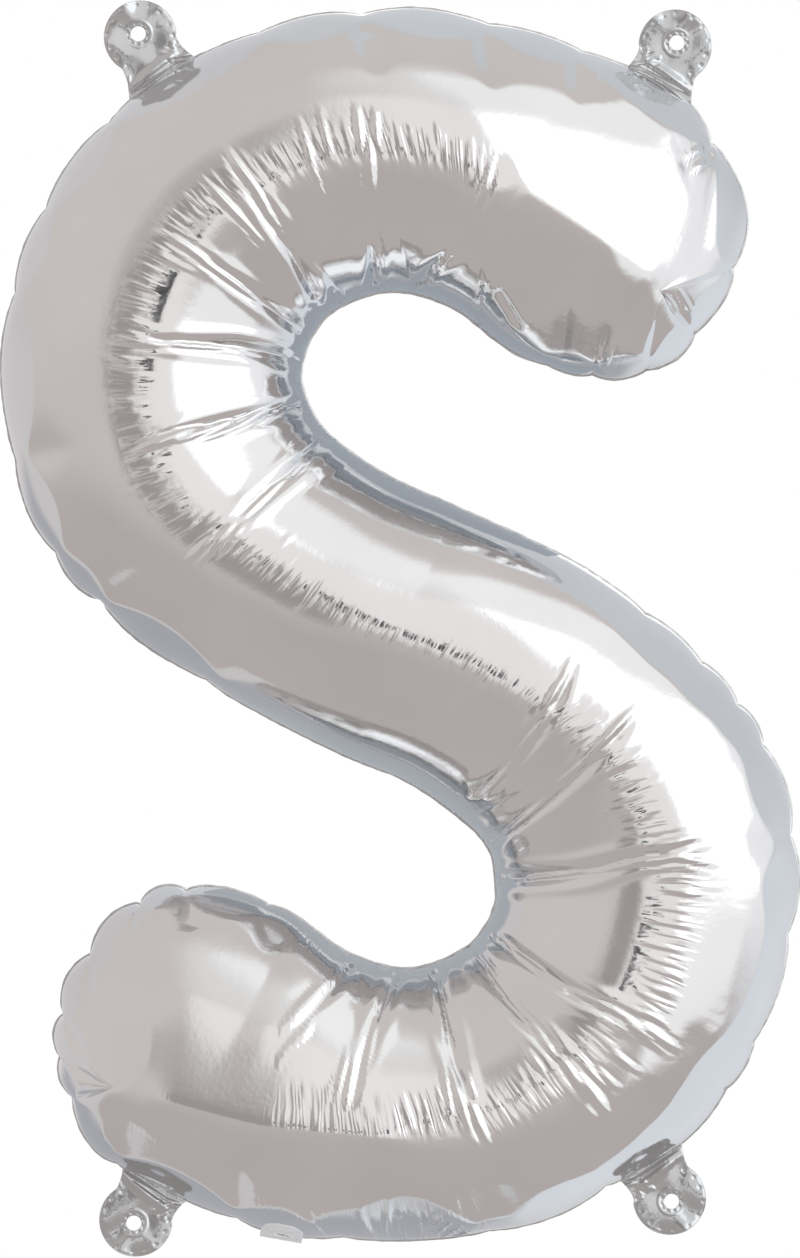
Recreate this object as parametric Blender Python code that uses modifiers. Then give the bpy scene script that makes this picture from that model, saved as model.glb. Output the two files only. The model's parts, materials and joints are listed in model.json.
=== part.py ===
"""Letter foil balloon: an air-filled S of two foil panels, a flat seam, four hanging tabs and a valve tail.

Metres, +Z up. The letter is read looking along +Y, and its seam lies in the plane y = 0.
The origin is midway between the holes of the two upper tabs, where the letter hangs.
"""

import math

import bmesh
import bpy
import numpy as np
from mathutils import Matrix, Vector

MM = 0.001

# Foil panels and seam
WALL = 1.0 * MM
WELD_THICKNESS = 0.8 * MM
WELD_WIDTH = 4.6 * MM
WELD_REACH = 1.0 * MM
GAP = 0.3 * MM
RIM_Y = WELD_THICKNESS / 2 + GAP

# Columns of the foil panels along the crest and in the fan at each end, and their rows from seam to crest
FIRST_STATION = 2.0
LAST_STATION = 28.0
STATION_COUNT = 140
FAN_COUNT = 16
ROWS = 6
SCALLOP_FADE = 6

# Scallops of the outer seam
LOBE_RISE = 0.022
LOBE_RISE_MAX = 0.8 * MM
LOBE_ROUNDNESS = 0.65
RUN_FADE = 9.0 * MM

# Hanging tabs
TAB_THICKNESS = 0.8 * MM
TAB_RADIUS = 10.45 * MM
TAB_HOLE_RADIUS = 2.15 * MM
TAB_HOLE_OFFSET = 1.1 * MM
TAB_NECK_HALF = 8.9 * MM
TAB_ROOT_HALF = 10.8 * MM
TAB_SINK = 0.2 * MM
TAB_RING_RADIUS = 3.7 * MM
TAB_RING_WIDTH = 0.8 * MM
TAB_RING_HEIGHT = 0.3 * MM
CREASE_RADIUS = 0.45 * MM

# Valve tail, folded up against the front panel
TAIL_WIDTH = 12.0 * MM
TAIL_LENGTH = 22.0 * MM
TAIL_CURL_RADIUS = 45.0 * MM
TAIL_PORT_ALONG = 12.0 * MM
TAIL_SEAT_X = -35.6 * MM

# Stations, in millimetres: a point on each seam, from the upper end of the S to the lower end
UPPER_TIP = (94.0, -66.5)
LOWER_TIP = (-98.5, -270.5)
RIBS = [
    ((96.5, -52.0), (86.5, -79.5)),
    ((92.5, -37.0), (77.5, -90.5)),
    ((83.5, -21.5), (66.0, -96.0)),
    ((69.5, -11.5), (54.0, -97.0)),
    ((36.5, 1.5), (31.5, -90.5)),
    ((-2.0, 8.5), (11.5, -76.5)),
    ((-40.5, 3.0), (-5.5, -72.5)),
    ((-80.0, -18.0), (-21.0, -78.0)),
    ((-96.5, -36.0), (-26.0, -83.5)),
    ((-108.0, -56.5), (-29.0, -90.0)),
    ((-115.0, -83.0), (-30.0, -96.5)),
    ((-114.0, -111.5), (-28.5, -102.5)),
    ((-107.0, -137.0), (-25.5, -108.5)),
    ((-93.0, -157.5), (-20.5, -114.0)),
    ((-57.0, -184.0), (-5.0, -124.5)),
    ((-19.5, -204.0), (15.0, -133.5)),
    ((0.5, -212.5), (53.0, -152.0)),
    ((16.0, -223.5), (88.5, -181.0)),
    ((21.0, -228.5), (102.5, -200.5)),
    ((23.5, -233.0), (110.5, -225.0)),
    ((24.5, -239.5), (110.7, -248.5)),
    ((24.5, -246.0), (102.8, -278.0)),
    ((21.5, -253.0), (91.4, -300.2)),
    ((16.5, -258.5), (75.0, -316.5)),
    ((1.0, -264.5), (36.5, -337.0)),
    ((-16.0, -260.5), (-2.0, -342.0)),
    ((-35.5, -247.5), (-40.5, -339.5)),
    ((-58.5, -241.0), (-72.5, -326.0)),
    ((-70.5, -241.5), (-87.5, -318.5)),
    ((-81.5, -247.0), (-97.0, -302.5)),
    ((-91.0, -257.5), (-101.0, -287.0)),
]

# Half depth of the inflated section at places along the letter: station number and millimetres
DEPTHS = [
    (2.0, 21.5), (3.0, 28.5), (4.4, 35.0), (5.5, 34.5), (8.0, 33.0), (10.5, 32.5), (13.0, 34.5),
    (14.5, 36.5), (16.0, 36.5), (17.5, 34.5), (20.0, 33.0), (23.0, 33.0), (25.0, 33.5), (26.0, 32.0),
    (27.0, 29.0), (28.0, 25.0),
]

# How far the crest leaves the middle of the section, as a share of the half width: positive to the first seam
CREST = [
    (2.0, -0.38), (3.0, -0.20), (4.0, 0.0), (22.5, 0.0), (24.0, -0.12), (25.0, -0.20), (26.0, -0.31),
    (27.0, -0.41), (28.0, -0.46),
]

# Cusps between the scallops, in millimetres: x, z and depth, in order along each outer seam
UPPER_CUSPS = [
    (40.2, -94.1, 0.5), (52.5, -96.7, 1.0), (68.2, -95.5, 0.7), (82.7, -85.0, 1.2), (94.4, -65.9, 1.6),
    (88.4, -28.6, 2.3), (49.9, -3.2, 0.6), (23.7, 4.8, 0.7), (-13.6, 8.5, 1.5), (-43.0, 2.2, 0.5),
    (-86.0, -23.4, 1.1), (-104.0, -47.9, 1.0), (-113.1, -71.9, 1.3), (-112.2, -120.3, 0.5),
    (-101.7, -147.1, 1.4), (-88.3, -161.9, 2.5), (-57.8, -183.6, 0.8),
]
LOWER_CUSPS = [
    (-39.8, -247.4, 0.6), (-62.9, -240.6, 1.8), (-77.5, -244.0, 2.3), (-92.3, -259.1, 2.4),
    (-100.5, -277.1, 2.2), (-100.8, -290.2, 1.5), (-97.1, -301.9, 1.8), (-83.7, -322.1, 1.1),
    (-49.5, -337.2, 0.9), (-19.0, -342.1, 0.6), (23.1, -340.1, 0.3), (57.6, -329.2, 1.2),
    (93.5, -300.7, 1.0), (100.9, -286.5, 0.8), (110.1, -254.8, 1.3), (110.6, -226.6, 1.9),
    (102.7, -200.4, 1.4), (95.0, -188.4, 1.4), (84.4, -177.0, 0.8), (68.2, -162.8, 0.8),
]

# Hanging tabs: disc centre in millimetres and the way each one points, in degrees from +X towards +Z
TABS = {
    "hanging_tab_upper_left": (-76.2, 0.5, 123.5),
    "hanging_tab_upper_right": (76.2, -2.1, 61.4),
    "hanging_tab_lower_left": (-77.5, -336.6, 238.0),
    "hanging_tab_lower_right": (74.6, -330.4, 302.8),
}

FOIL_COLOUR = (0.74, 0.73, 0.72, 1.0)
SEAM_COLOUR = (0.62, 0.61, 0.60, 1.0)
TAB_COLOUR = (0.66, 0.66, 0.67, 1.0)
TAIL_COLOUR = (0.80, 0.80, 0.80, 1.0)


def clear_scene():
    """Remove whatever objects the scene starts with."""
    for old in list(bpy.data.objects):
        bpy.data.objects.remove(old, do_unlink=True)


def new_collection(name):
    """Add a collection under the scene's own."""
    collection = bpy.data.collections.new(name)
    bpy.context.scene.collection.children.link(collection)
    return collection


def foil_material(name, colour, roughness):
    """Make a metallic film finish."""
    material = bpy.data.materials.new(name)
    material.use_nodes = True
    shader = material.node_tree.nodes["Principled BSDF"]
    shader.inputs["Base Color"].default_value = colour
    shader.inputs["Metallic"].default_value = 1.0
    shader.inputs["Roughness"].default_value = roughness
    return material


def to_metres(points):
    """Turn a list of millimetre points into an array in metres."""
    return np.array(points, dtype=float) * MM


class ClosedSpline:
    """A smooth closed curve through points, with one unit of its parameter from each to the next."""

    def __init__(self, points):
        self.points = np.asarray(points)
        self.count = len(self.points)

    def at(self, parameter):
        """Give the point at a parameter, as a centripetal Catmull-Rom curve."""
        index = int(math.floor(parameter))
        p0, p1, p2, p3 = (self.points[(index + k) % self.count] for k in (-1, 0, 1, 2))
        t0 = 0.0
        t1 = t0 + math.sqrt(np.linalg.norm(p1 - p0))
        t2 = t1 + math.sqrt(np.linalg.norm(p2 - p1))
        t3 = t2 + math.sqrt(np.linalg.norm(p3 - p2))
        t = t1 + (parameter - index) * (t2 - t1)
        a1 = (t1 - t) / (t1 - t0) * p0 + (t - t0) / (t1 - t0) * p1
        a2 = (t2 - t) / (t2 - t1) * p1 + (t - t1) / (t2 - t1) * p2
        a3 = (t3 - t) / (t3 - t2) * p2 + (t - t2) / (t3 - t2) * p3
        b1 = (t2 - t) / (t2 - t0) * a1 + (t - t0) / (t2 - t0) * a2
        b2 = (t3 - t) / (t3 - t1) * a2 + (t - t1) / (t3 - t1) * a3
        return (t2 - t) / (t2 - t1) * b1 + (t - t1) / (t2 - t1) * b2

    def outward(self, parameter):
        """Give the outward normal, for points that run anticlockwise as the letter is read."""
        step = 0.01
        along = self.at(parameter + step) - self.at(parameter - step)
        along /= np.linalg.norm(along)
        return np.array((along[1], -along[0]))


class Seam:
    """The outline of the inflated letter, with its scallops."""

    SAMPLES_PER_UNIT = 24

    def __init__(self):
        first = [rib[0] for rib in RIBS]
        second = [rib[1] for rib in RIBS]
        loop = [UPPER_TIP] + first + [LOWER_TIP] + second[::-1]
        self.spline = ClosedSpline(to_metres(loop))
        self.parameters = np.arange(self.spline.count * self.SAMPLES_PER_UNIT) / self.SAMPLES_PER_UNIT
        self.samples = np.array([self.spline.at(p) for p in self.parameters])
        steps = np.linalg.norm(np.roll(self.samples, -1, axis=0) - self.samples, axis=1)
        self.lengths = np.concatenate(([0.0], np.cumsum(steps)))
        self.runs = [self.place_cusps(cusps) for cusps in (UPPER_CUSPS, LOWER_CUSPS)]

    def length_at(self, parameter):
        """Give the distance along the outline at a parameter."""
        samples = np.append(self.parameters, self.spline.count)
        return float(np.interp(parameter % self.spline.count, samples, self.lengths))

    def place_cusps(self, cusps):
        """Give each cusp's distance along the outline and its depth, in order from the first one."""
        total = self.lengths[-1]
        placed = []
        for x, z, depth in cusps:
            offsets = self.samples - np.array((x, z)) * MM
            nearest = int(np.argmin(np.linalg.norm(offsets, axis=1)))
            placed.append([self.lengths[nearest], depth * MM])
        start = placed[0][0]
        clockwise = (placed[1][0] - start) % total > total / 2
        for cusp in placed:
            cusp[0] = (start - cusp[0]) % total if clockwise else (cusp[0] - start) % total
        return start, clockwise, placed

    def scallop(self, parameter):
        """Give the outward shift and the roundness from 0 at a cusp to 1 on a lobe."""
        total = self.lengths[-1]
        length = self.length_at(parameter)
        for start, clockwise, cusps in self.runs:
            along = (start - length) % total if clockwise else (length - start) % total
            for (low, low_depth), (high, high_depth) in zip(cusps, cusps[1:]):
                if low <= along <= high:
                    share = (along - low) / (high - low)
                    lobe = math.sin(math.pi * share) ** LOBE_ROUNDNESS
                    rise = min(LOBE_RISE * (high - low), LOBE_RISE_MAX)
                    depth = low_depth + (high_depth - low_depth) * share
                    return lobe * rise - (1.0 - lobe) * depth, lobe
            for past, depth in ((along - cusps[-1][0], cusps[-1][1]), (total - along, cusps[0][1])):
                if 0.0 <= past < RUN_FADE:
                    fade = past / RUN_FADE
                    return -depth * (1.0 - fade) ** 2, fade
        return 0.0, 1.0

    def point(self, parameter, inset=0.0, scalloped=True):
        """Give a point of the outline, moved inwards by an inset."""
        shift = self.scallop(parameter)[0] if scalloped else 0.0
        return self.spline.at(parameter) + self.spline.outward(parameter) * (shift - inset)


def spaced(start, end, count, curve):
    """List parameters from start to end that lie evenly along a curve."""
    fine = np.linspace(start, end, 1201)
    points = np.array([curve(parameter) for parameter in fine])
    steps = np.linalg.norm(np.diff(points, axis=0), axis=1)
    lengths = np.concatenate(([0.0], np.cumsum(steps)))
    return np.interp(np.linspace(0.0, lengths[-1], count), lengths, fine)


def read_table(table, place):
    """Interpolate a table of places and values."""
    places, values = zip(*table)
    return float(np.interp(place, places, values))


class PanelPlan:
    """Where the foil panels' columns run: from points all round the seam to points of the crest."""

    def __init__(self, seam):
        self.seam = seam
        self.count = seam.spline.count
        self.stations = spaced(FIRST_STATION, LAST_STATION, STATION_COUNT, self.middle)
        first = self.stations + 1.0
        second = self.count - 1.0 - self.stations
        lower = spaced(first[-1], second[-1], FAN_COUNT + 2, seam.spline.at)[1:-1]
        upper = spaced(second[0] - self.count, first[0], FAN_COUNT + 2, seam.spline.at)[1:-1]
        last = STATION_COUNT - 1
        self.columns = [(parameter, index) for index, parameter in enumerate(first)]
        self.columns += [(parameter, last) for parameter in lower]
        self.columns += [(parameter, index) for index, parameter in reversed(list(enumerate(second)))]
        self.columns += [(parameter, 0) for parameter in upper]

    def middle(self, station):
        """Give the point midway between the two seams."""
        return 0.5 * (self.seam.spline.at(station + 1.0) + self.seam.spline.at(self.count - 1.0 - station))

    def crest(self, index):
        """Give the crest's point and half depth at a station."""
        station = self.stations[index]
        first = self.seam.point(station + 1.0, WELD_REACH, scalloped=False)
        second = self.seam.point(self.count - 1.0 - station, WELD_REACH, scalloped=False)
        aside = read_table(CREST, station)
        place = 0.5 * (first + second) + 0.5 * aside * (first - second)
        return place, read_table(DEPTHS, station) * MM

    def column(self, parameter, index):
        """List a column's points from the seam up to the crest, without the crest's: x, height and z."""
        crest, depth = self.crest(index)
        parameter = parameter % self.count
        smooth = self.seam.point(parameter, WELD_REACH, scalloped=False)
        scalloped = self.seam.point(parameter, WELD_REACH)
        points = []
        for row in range(ROWS):
            angle = 0.5 * math.pi * row / ROWS
            share = math.cos(angle)
            flat = crest + (smooth - crest) * share + (scalloped - smooth) * share ** SCALLOP_FADE
            points.append((flat[0], depth * math.sin(angle), flat[1]))
        return points


def build_panel(name, side, seam, collection, material):
    """Raise one foil panel from the seam to its crest, with its wall. Side is -1 in front and +1 behind."""
    plan = PanelPlan(seam)
    mesh = bpy.data.meshes.new(name)
    form = bmesh.new()
    crests = []
    for index in range(STATION_COUNT):
        (x, z), depth = plan.crest(index)
        crests.append(form.verts.new((x, side * (RIM_Y + depth), z)))
    columns = []
    for parameter, index in plan.columns:
        points = plan.column(parameter, index)
        ring = [form.verts.new((x, side * (RIM_Y + height), z)) for x, height, z in points]
        columns.append(ring + [crests[index]])
    for here, following in zip(columns, columns[1:] + columns[:1]):
        for row in range(ROWS):
            corners = [here[row], here[row + 1], following[row + 1], following[row]]
            corners = list(dict.fromkeys(corners))
            form.faces.new(corners[::-1] if side < 0 else corners)
    form.normal_update()
    form.to_mesh(mesh)
    form.free()
    panel = bpy.data.objects.new(name, mesh)
    collection.objects.link(panel)
    wall = panel.modifiers.new("wall", "SOLIDIFY")
    wall.thickness = WALL
    wall.offset = -1.0
    flatten_rim(panel, side)
    finish(panel, material)
    return panel


def apply_modifiers(thing):
    """Replace an object's mesh by its evaluated one."""
    bpy.context.view_layer.update()
    depsgraph = bpy.context.evaluated_depsgraph_get()
    mesh = bpy.data.meshes.new_from_object(thing.evaluated_get(depsgraph))
    thing.modifiers.clear()
    thing.data = mesh
    mesh.name = thing.name


def flatten_rim(panel, side):
    """Trim the panel's rim flat, parallel to the seam."""
    apply_modifiers(panel)
    for vertex in panel.data.vertices:
        vertex.co.y = side * max(RIM_Y, side * vertex.co.y)
    panel.data.update()


def finish(thing, material, smooth_angle=40.0):
    """Shade an object smooth and give it its material."""
    thing.data.materials.clear()
    thing.data.materials.append(material)
    thing.data.shade_smooth()
    thing.data.set_sharp_from_angle(angle=math.radians(smooth_angle))


def flat_plate(name, loops, thickness, collection):
    """Fill closed loops of x, z points into a flat plate about y = 0, later loops being holes."""
    curve = bpy.data.curves.new(name, "CURVE")
    curve.dimensions = "2D"
    curve.fill_mode = "BOTH"
    curve.extrude = thickness / 2
    for loop in loops:
        spline = curve.splines.new("POLY")
        spline.points.add(len(loop) - 1)
        for point, (x, z) in zip(spline.points, loop):
            point.co = (x, z, 0.0, 1.0)
        spline.use_cyclic_u = True
    outline = bpy.data.objects.new(name + "_outline", curve)
    collection.objects.link(outline)
    outline.rotation_euler = (math.pi / 2, 0.0, 0.0)
    bpy.context.view_layer.update()
    depsgraph = bpy.context.evaluated_depsgraph_get()
    mesh = bpy.data.meshes.new_from_object(outline.evaluated_get(depsgraph))
    mesh.name = name
    mesh.transform(outline.matrix_world)
    form = bmesh.new()
    form.from_mesh(mesh)
    bmesh.ops.remove_doubles(form, verts=form.verts, dist=0.00001)
    bmesh.ops.recalc_face_normals(form, faces=form.faces)
    form.to_mesh(mesh)
    form.free()
    bpy.data.objects.remove(outline, do_unlink=True)
    plate = bpy.data.objects.new(name, mesh)
    collection.objects.link(plate)
    return plate


class TabSeat:
    """Where a tab's crease lies against the letter's edge, and how far its disc stands off it."""

    def __init__(self, seam, x, z, heading):
        angle = math.radians(heading)
        disc = np.array((x, z)) * MM
        self.outward = np.array((math.cos(angle), math.sin(angle)))
        self.along = np.array((math.sin(angle), -math.cos(angle)))
        edge = np.array([seam.point(p) for p in seam.parameters])
        beside = (edge - disc) @ self.along
        out = (edge - disc) @ self.outward
        support = out[(abs(beside) < TAB_ROOT_HALF) & (out > -2 * TAB_RADIUS)].max()
        self.reach = TAB_SINK - support
        self.root = disc - self.outward * self.reach
        self.clip = GAP + CREASE_RADIUS

    def trim(self, point):
        """Bring a point of the seam's edge back to the straight line under the tab's crease."""
        offset = point - self.root
        over = float(offset @ self.outward) + self.clip
        beside = abs(float(offset @ self.along))
        if over > 0.0 and beside < 2 * TAB_ROOT_HALF:
            return point - self.outward * over
        return point

    def frame(self):
        """Give the tab's world frame: X along its crease, Z pointing off the letter."""
        along = Vector((self.along[0], 0.0, self.along[1]))
        outward = Vector((self.outward[0], 0.0, self.outward[1]))
        frame = Matrix((along, Vector((0.0, 1.0, 0.0)), outward)).transposed().to_4x4()
        frame.translation = Vector((self.root[0], 0.0, self.root[1]))
        return frame


def build_seam(seam, seats, collection, material):
    """Make the flat ribbon where the two panels are welded, from the letter's edge inwards."""
    step = 0.25
    places = np.arange(0.0, seam.spline.count, step)
    outer = [seam.point(p) for p in places]
    for seat in seats:
        outer = [seat.trim(point) for point in outer]
    inner = [seam.point(p, WELD_WIDTH, scalloped=False) for p in places[::2]]
    ribbon = flat_plate("seam_flange", (outer, inner), WELD_THICKNESS, collection)
    finish(ribbon, material)
    return ribbon


def arc(centre, radius, start, end, count):
    """List points on an arc, in degrees."""
    angles = np.radians(np.linspace(start, end, count))
    return [(centre[0] + radius * math.cos(a), centre[1] + radius * math.sin(a)) for a in angles]


def circle(centre, radius, count):
    """List the points of a full circle."""
    return arc(centre, radius, 0.0, 360.0 * (count - 1) / count, count)


def tab_outline(reach):
    """List a tab's outline in its own frame: root on the first axis, pointing up its second axis."""
    centre = (0.0, reach)
    lean = math.degrees(math.acos(TAB_NECK_HALF / TAB_RADIUS))
    disc = arc(centre, TAB_RADIUS, -lean, 180.0 + lean, 25)
    neck_height = reach - TAB_RADIUS * math.sin(math.radians(lean))
    flare = []
    for share in (0.0, 0.3, 0.55, 0.8):
        half = TAB_ROOT_HALF + (TAB_NECK_HALF - TAB_ROOT_HALF) * math.sin(share * math.pi / 2)
        flare.append((half, neck_height * share))
    mirrored = [(-x, y) for x, y in reversed(flare)]
    return flare + disc + mirrored


def cylinder(name, radius, length, collection, sides=16):
    """Add a cylinder along X."""
    bpy.ops.mesh.primitive_cylinder_add(vertices=sides, radius=radius, depth=length)
    rod = bpy.context.active_object
    rod.name = name
    rod.data.transform(Matrix.Rotation(math.pi / 2, 4, "Y"))
    for owner in list(rod.users_collection):
        owner.objects.unlink(rod)
    collection.objects.link(rod)
    return rod


def union(thing, other):
    """Join another closed object into this one."""
    join = thing.modifiers.new("join", "BOOLEAN")
    join.operation = "UNION"
    join.object = other
    apply_modifiers(thing)
    bpy.data.objects.remove(other, do_unlink=True)


def build_tab(name, seat, collection, material):
    """Make a hanging tab: a round tongue with a hole, a raised ring and a rounded crease at its root."""
    hole_centre = (0.0, seat.reach + TAB_HOLE_OFFSET)
    hole = circle(hole_centre, TAB_HOLE_RADIUS, 20)
    tab = flat_plate(name, (tab_outline(seat.reach), hole), TAB_THICKNESS, collection)
    ring_loops = (
        circle(hole_centre, TAB_RING_RADIUS + TAB_RING_WIDTH / 2, 24),
        circle(hole_centre, TAB_RING_RADIUS - TAB_RING_WIDTH / 2, 24),
    )
    ring = flat_plate(name + "_ring", ring_loops, TAB_THICKNESS + 2 * TAB_RING_HEIGHT, collection)
    union(tab, ring)
    crease = cylinder(name + "_crease", CREASE_RADIUS, 2 * TAB_ROOT_HALF, collection)
    union(tab, crease)
    tab.matrix_world = seat.frame()
    finish(tab, material)
    return tab


def build_tail(seam, collection, material):
    """Make the valve tail: a narrow tongue creased at the bottom seam and curled up along the front."""
    half = TAIL_WIDTH / 2
    corner = half * 0.8
    outline = [(half, 0.0), (half, TAIL_LENGTH - corner)]
    outline += arc((half - corner, TAIL_LENGTH - corner), corner, 15.0, 90.0, 6)
    outline += arc((corner - half, TAIL_LENGTH - corner), corner, 90.0, 165.0, 6)
    outline += [(-half, TAIL_LENGTH - corner), (-half, 0.0)]
    port = circle((0.0, TAIL_PORT_ALONG), TAB_HOLE_RADIUS, 16)
    tail = flat_plate("valve_tail", (outline, port), TAB_THICKNESS, collection)
    curl_plate(tail)
    crease = cylinder("valve_tail_crease", CREASE_RADIUS, TAIL_WIDTH, collection)
    union(tail, crease)
    tail.matrix_world = tail_frame(seam)
    finish(tail, material)
    return tail


def curl_plate(tail):
    """Cut the tail across into strips and bend them round, away from its length towards +Y."""
    form = bmesh.new()
    form.from_mesh(tail.data)
    strips = 8
    for step in range(1, strips):
        everything = form.verts[:] + form.edges[:] + form.faces[:]
        place = (0.0, 0.0, TAIL_LENGTH * step / strips)
        bmesh.ops.bisect_plane(form, geom=everything, plane_co=place, plane_no=(0.0, 0.0, 1.0))
    for vertex in form.verts:
        angle = vertex.co.z / TAIL_CURL_RADIUS
        radius = TAIL_CURL_RADIUS - vertex.co.y
        vertex.co.z = radius * math.sin(angle)
        vertex.co.y = TAIL_CURL_RADIUS - radius * math.cos(angle)
    form.to_mesh(tail.data)
    form.free()


def tail_frame(seam):
    """Give the tail's frame: X along its crease, Z towards the front, Y up."""
    low_points = [i for i, (x, z) in enumerate(seam.samples) if abs(x - TAIL_SEAT_X) < 2 * MM and z < -0.3]
    seat = seam.parameters[low_points[len(low_points) // 2]]
    outward = seam.spline.outward(seat)
    shift = seam.scallop(seat)[0] + GAP + CREASE_RADIUS
    place = seam.spline.at(seat) + outward * shift
    up = Vector((-outward[0], 0.0, -outward[1]))
    front = Vector((0.0, -1.0, 0.0))
    along = up.cross(front)
    frame = Matrix((along, up, front)).transposed().to_4x4()
    frame.translation = Vector((place[0], 0.0, place[1]))
    return frame


def main():
    """Build the balloon."""
    clear_scene()
    balloon = new_collection("letter_foil_balloon")
    foil = foil_material("foil_film", FOIL_COLOUR, 0.12)
    weld = foil_material("welded_film", SEAM_COLOUR, 0.3)
    tab_film = foil_material("tab_film", TAB_COLOUR, 0.2)
    tail_film = foil_material("tail_film", TAIL_COLOUR, 0.2)
    seam = Seam()
    build_panel("front_foil", -1, seam, balloon, foil)
    build_panel("back_foil", 1, seam, balloon, foil)
    seats = {name: TabSeat(seam, *place) for name, place in TABS.items()}
    build_seam(seam, seats.values(), balloon, weld)
    for name, seat in seats.items():
        build_tab(name, seat, balloon, tab_film)
    build_tail(seam, balloon, tail_film)
    bpy.context.view_layer.update()


main()
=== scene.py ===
"""Looks for the letter foil balloon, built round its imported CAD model.

Shapes are worked out in millimetres and go into the meshes in metres. X is to the right as the letter
is read, Z is up, and the front panel faces -Y. The seam lies in the plane y = 0.
"""
import json
import math

import bpy
import numpy as np
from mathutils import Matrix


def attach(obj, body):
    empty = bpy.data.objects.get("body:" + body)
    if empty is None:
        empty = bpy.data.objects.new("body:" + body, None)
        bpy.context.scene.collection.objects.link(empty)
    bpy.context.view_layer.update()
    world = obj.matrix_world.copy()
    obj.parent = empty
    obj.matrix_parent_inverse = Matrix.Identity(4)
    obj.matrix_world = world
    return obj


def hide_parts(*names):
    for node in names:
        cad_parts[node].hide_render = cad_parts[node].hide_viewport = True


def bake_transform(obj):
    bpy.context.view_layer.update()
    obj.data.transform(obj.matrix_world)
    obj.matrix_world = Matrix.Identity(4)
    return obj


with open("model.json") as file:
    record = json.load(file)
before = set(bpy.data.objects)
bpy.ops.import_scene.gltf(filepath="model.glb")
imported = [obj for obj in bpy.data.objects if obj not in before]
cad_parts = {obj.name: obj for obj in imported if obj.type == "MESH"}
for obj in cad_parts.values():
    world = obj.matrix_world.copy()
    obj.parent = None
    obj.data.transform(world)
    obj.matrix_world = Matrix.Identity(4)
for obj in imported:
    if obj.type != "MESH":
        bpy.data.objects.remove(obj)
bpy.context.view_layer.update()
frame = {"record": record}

MM = 0.001

# Further than anything here, in mm
FAR = 1e9

# The photograph's frame: its size, the millimetres that one of its pixels spans at the seam and the pixel at the
# origin. The camera's distance is in metres
PHOTO_WIDTH = 800
PHOTO_HEIGHT = 1258
PIXEL = 0.285
ORIGIN_PX = (407.8, 38.8)
CAMERA_DISTANCE = 2.6

# Stations along the letter, as the CAD source has them: a point in x and z on each seam, upper end first
UPPER_TIP = (94.0, -66.5)
LOWER_TIP = (-98.5, -270.5)
RIBS = [
    ((96.5, -52.0), (86.5, -79.5)), ((92.5, -37.0), (77.5, -90.5)), ((83.5, -21.5), (66.0, -96.0)),
    ((69.5, -11.5), (54.0, -97.0)), ((36.5, 1.5), (31.5, -90.5)), ((-2.0, 8.5), (11.5, -76.5)),
    ((-40.5, 3.0), (-5.5, -72.5)), ((-80.0, -18.0), (-21.0, -78.0)), ((-96.5, -36.0), (-26.0, -83.5)),
    ((-108.0, -56.5), (-29.0, -90.0)), ((-115.0, -83.0), (-30.0, -96.5)), ((-114.0, -111.5), (-28.5, -102.5)),
    ((-107.0, -137.0), (-25.5, -108.5)), ((-93.0, -157.5), (-20.5, -114.0)), ((-57.0, -184.0), (-5.0, -124.5)),
    ((-19.5, -204.0), (15.0, -133.5)), ((0.5, -212.5), (53.0, -152.0)), ((16.0, -223.5), (88.5, -181.0)),
    ((21.0, -228.5), (102.5, -200.5)), ((23.5, -233.0), (110.5, -225.0)), ((24.5, -239.5), (110.7, -248.5)),
    ((24.5, -246.0), (102.8, -278.0)), ((21.5, -253.0), (91.4, -300.2)), ((16.5, -258.5), (75.0, -316.5)),
    ((1.0, -264.5), (36.5, -337.0)), ((-16.0, -260.5), (-2.0, -342.0)), ((-35.5, -247.5), (-40.5, -339.5)),
    ((-58.5, -241.0), (-72.5, -326.0)), ((-70.5, -241.5), (-87.5, -318.5)), ((-81.5, -247.0), (-97.0, -302.5)),
    ((-91.0, -257.5), (-101.0, -287.0)),
]

# Cusps between the scallops of the outer seams: x, z and depth
UPPER_CUSPS = [
    (40.2, -94.1, 0.5), (52.5, -96.7, 1.0), (68.2, -95.5, 0.7), (82.7, -85.0, 1.2), (94.4, -65.9, 1.6),
    (88.4, -28.6, 2.3), (49.9, -3.2, 0.6), (23.7, 4.8, 0.7), (-13.6, 8.5, 1.5), (-43.0, 2.2, 0.5),
    (-86.0, -23.4, 1.1), (-104.0, -47.9, 1.0), (-113.1, -71.9, 1.3), (-112.2, -120.3, 0.5),
    (-101.7, -147.1, 1.4), (-88.3, -161.9, 2.5), (-57.8, -183.6, 0.8),
]
LOWER_CUSPS = [
    (-39.8, -247.4, 0.6), (-62.9, -240.6, 1.8), (-77.5, -244.0, 2.3), (-92.3, -259.1, 2.4),
    (-100.5, -277.1, 2.2), (-100.8, -290.2, 1.5), (-97.1, -301.9, 1.8), (-83.7, -322.1, 1.1),
    (-49.5, -337.2, 0.9), (-19.0, -342.1, 0.6), (23.1, -340.1, 0.3), (57.6, -329.2, 1.2),
    (93.5, -300.7, 1.0), (100.9, -286.5, 0.8), (110.1, -254.8, 1.3), (110.6, -226.6, 1.9),
    (102.7, -200.4, 1.4), (95.0, -188.4, 1.4), (84.4, -177.0, 0.8), (68.2, -162.8, 0.8),
]

# The lobes between cusps: rise for each millimetre of length, its limit, and roundness. A run of lobes fades out over
# the last distance, past its first and last cusp
LOBE_RISE = 0.022
LOBE_RISE_MAX = 0.8
LOBE_ROUNDNESS = 0.65
RUN_FADE = 9.0

# The inflated section: how far in from the seam it starts, its height there, the stations between which it runs, how
# far in the scallops still shift it, and how far in its relief is full
WELD_REACH = 0.45
RIM_Y = 0.30
FIRST_STATION = 2.0
LAST_STATION = 28.0
SCALLOP_FADE = 8.0
RELIEF_REACH = 1.2

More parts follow.
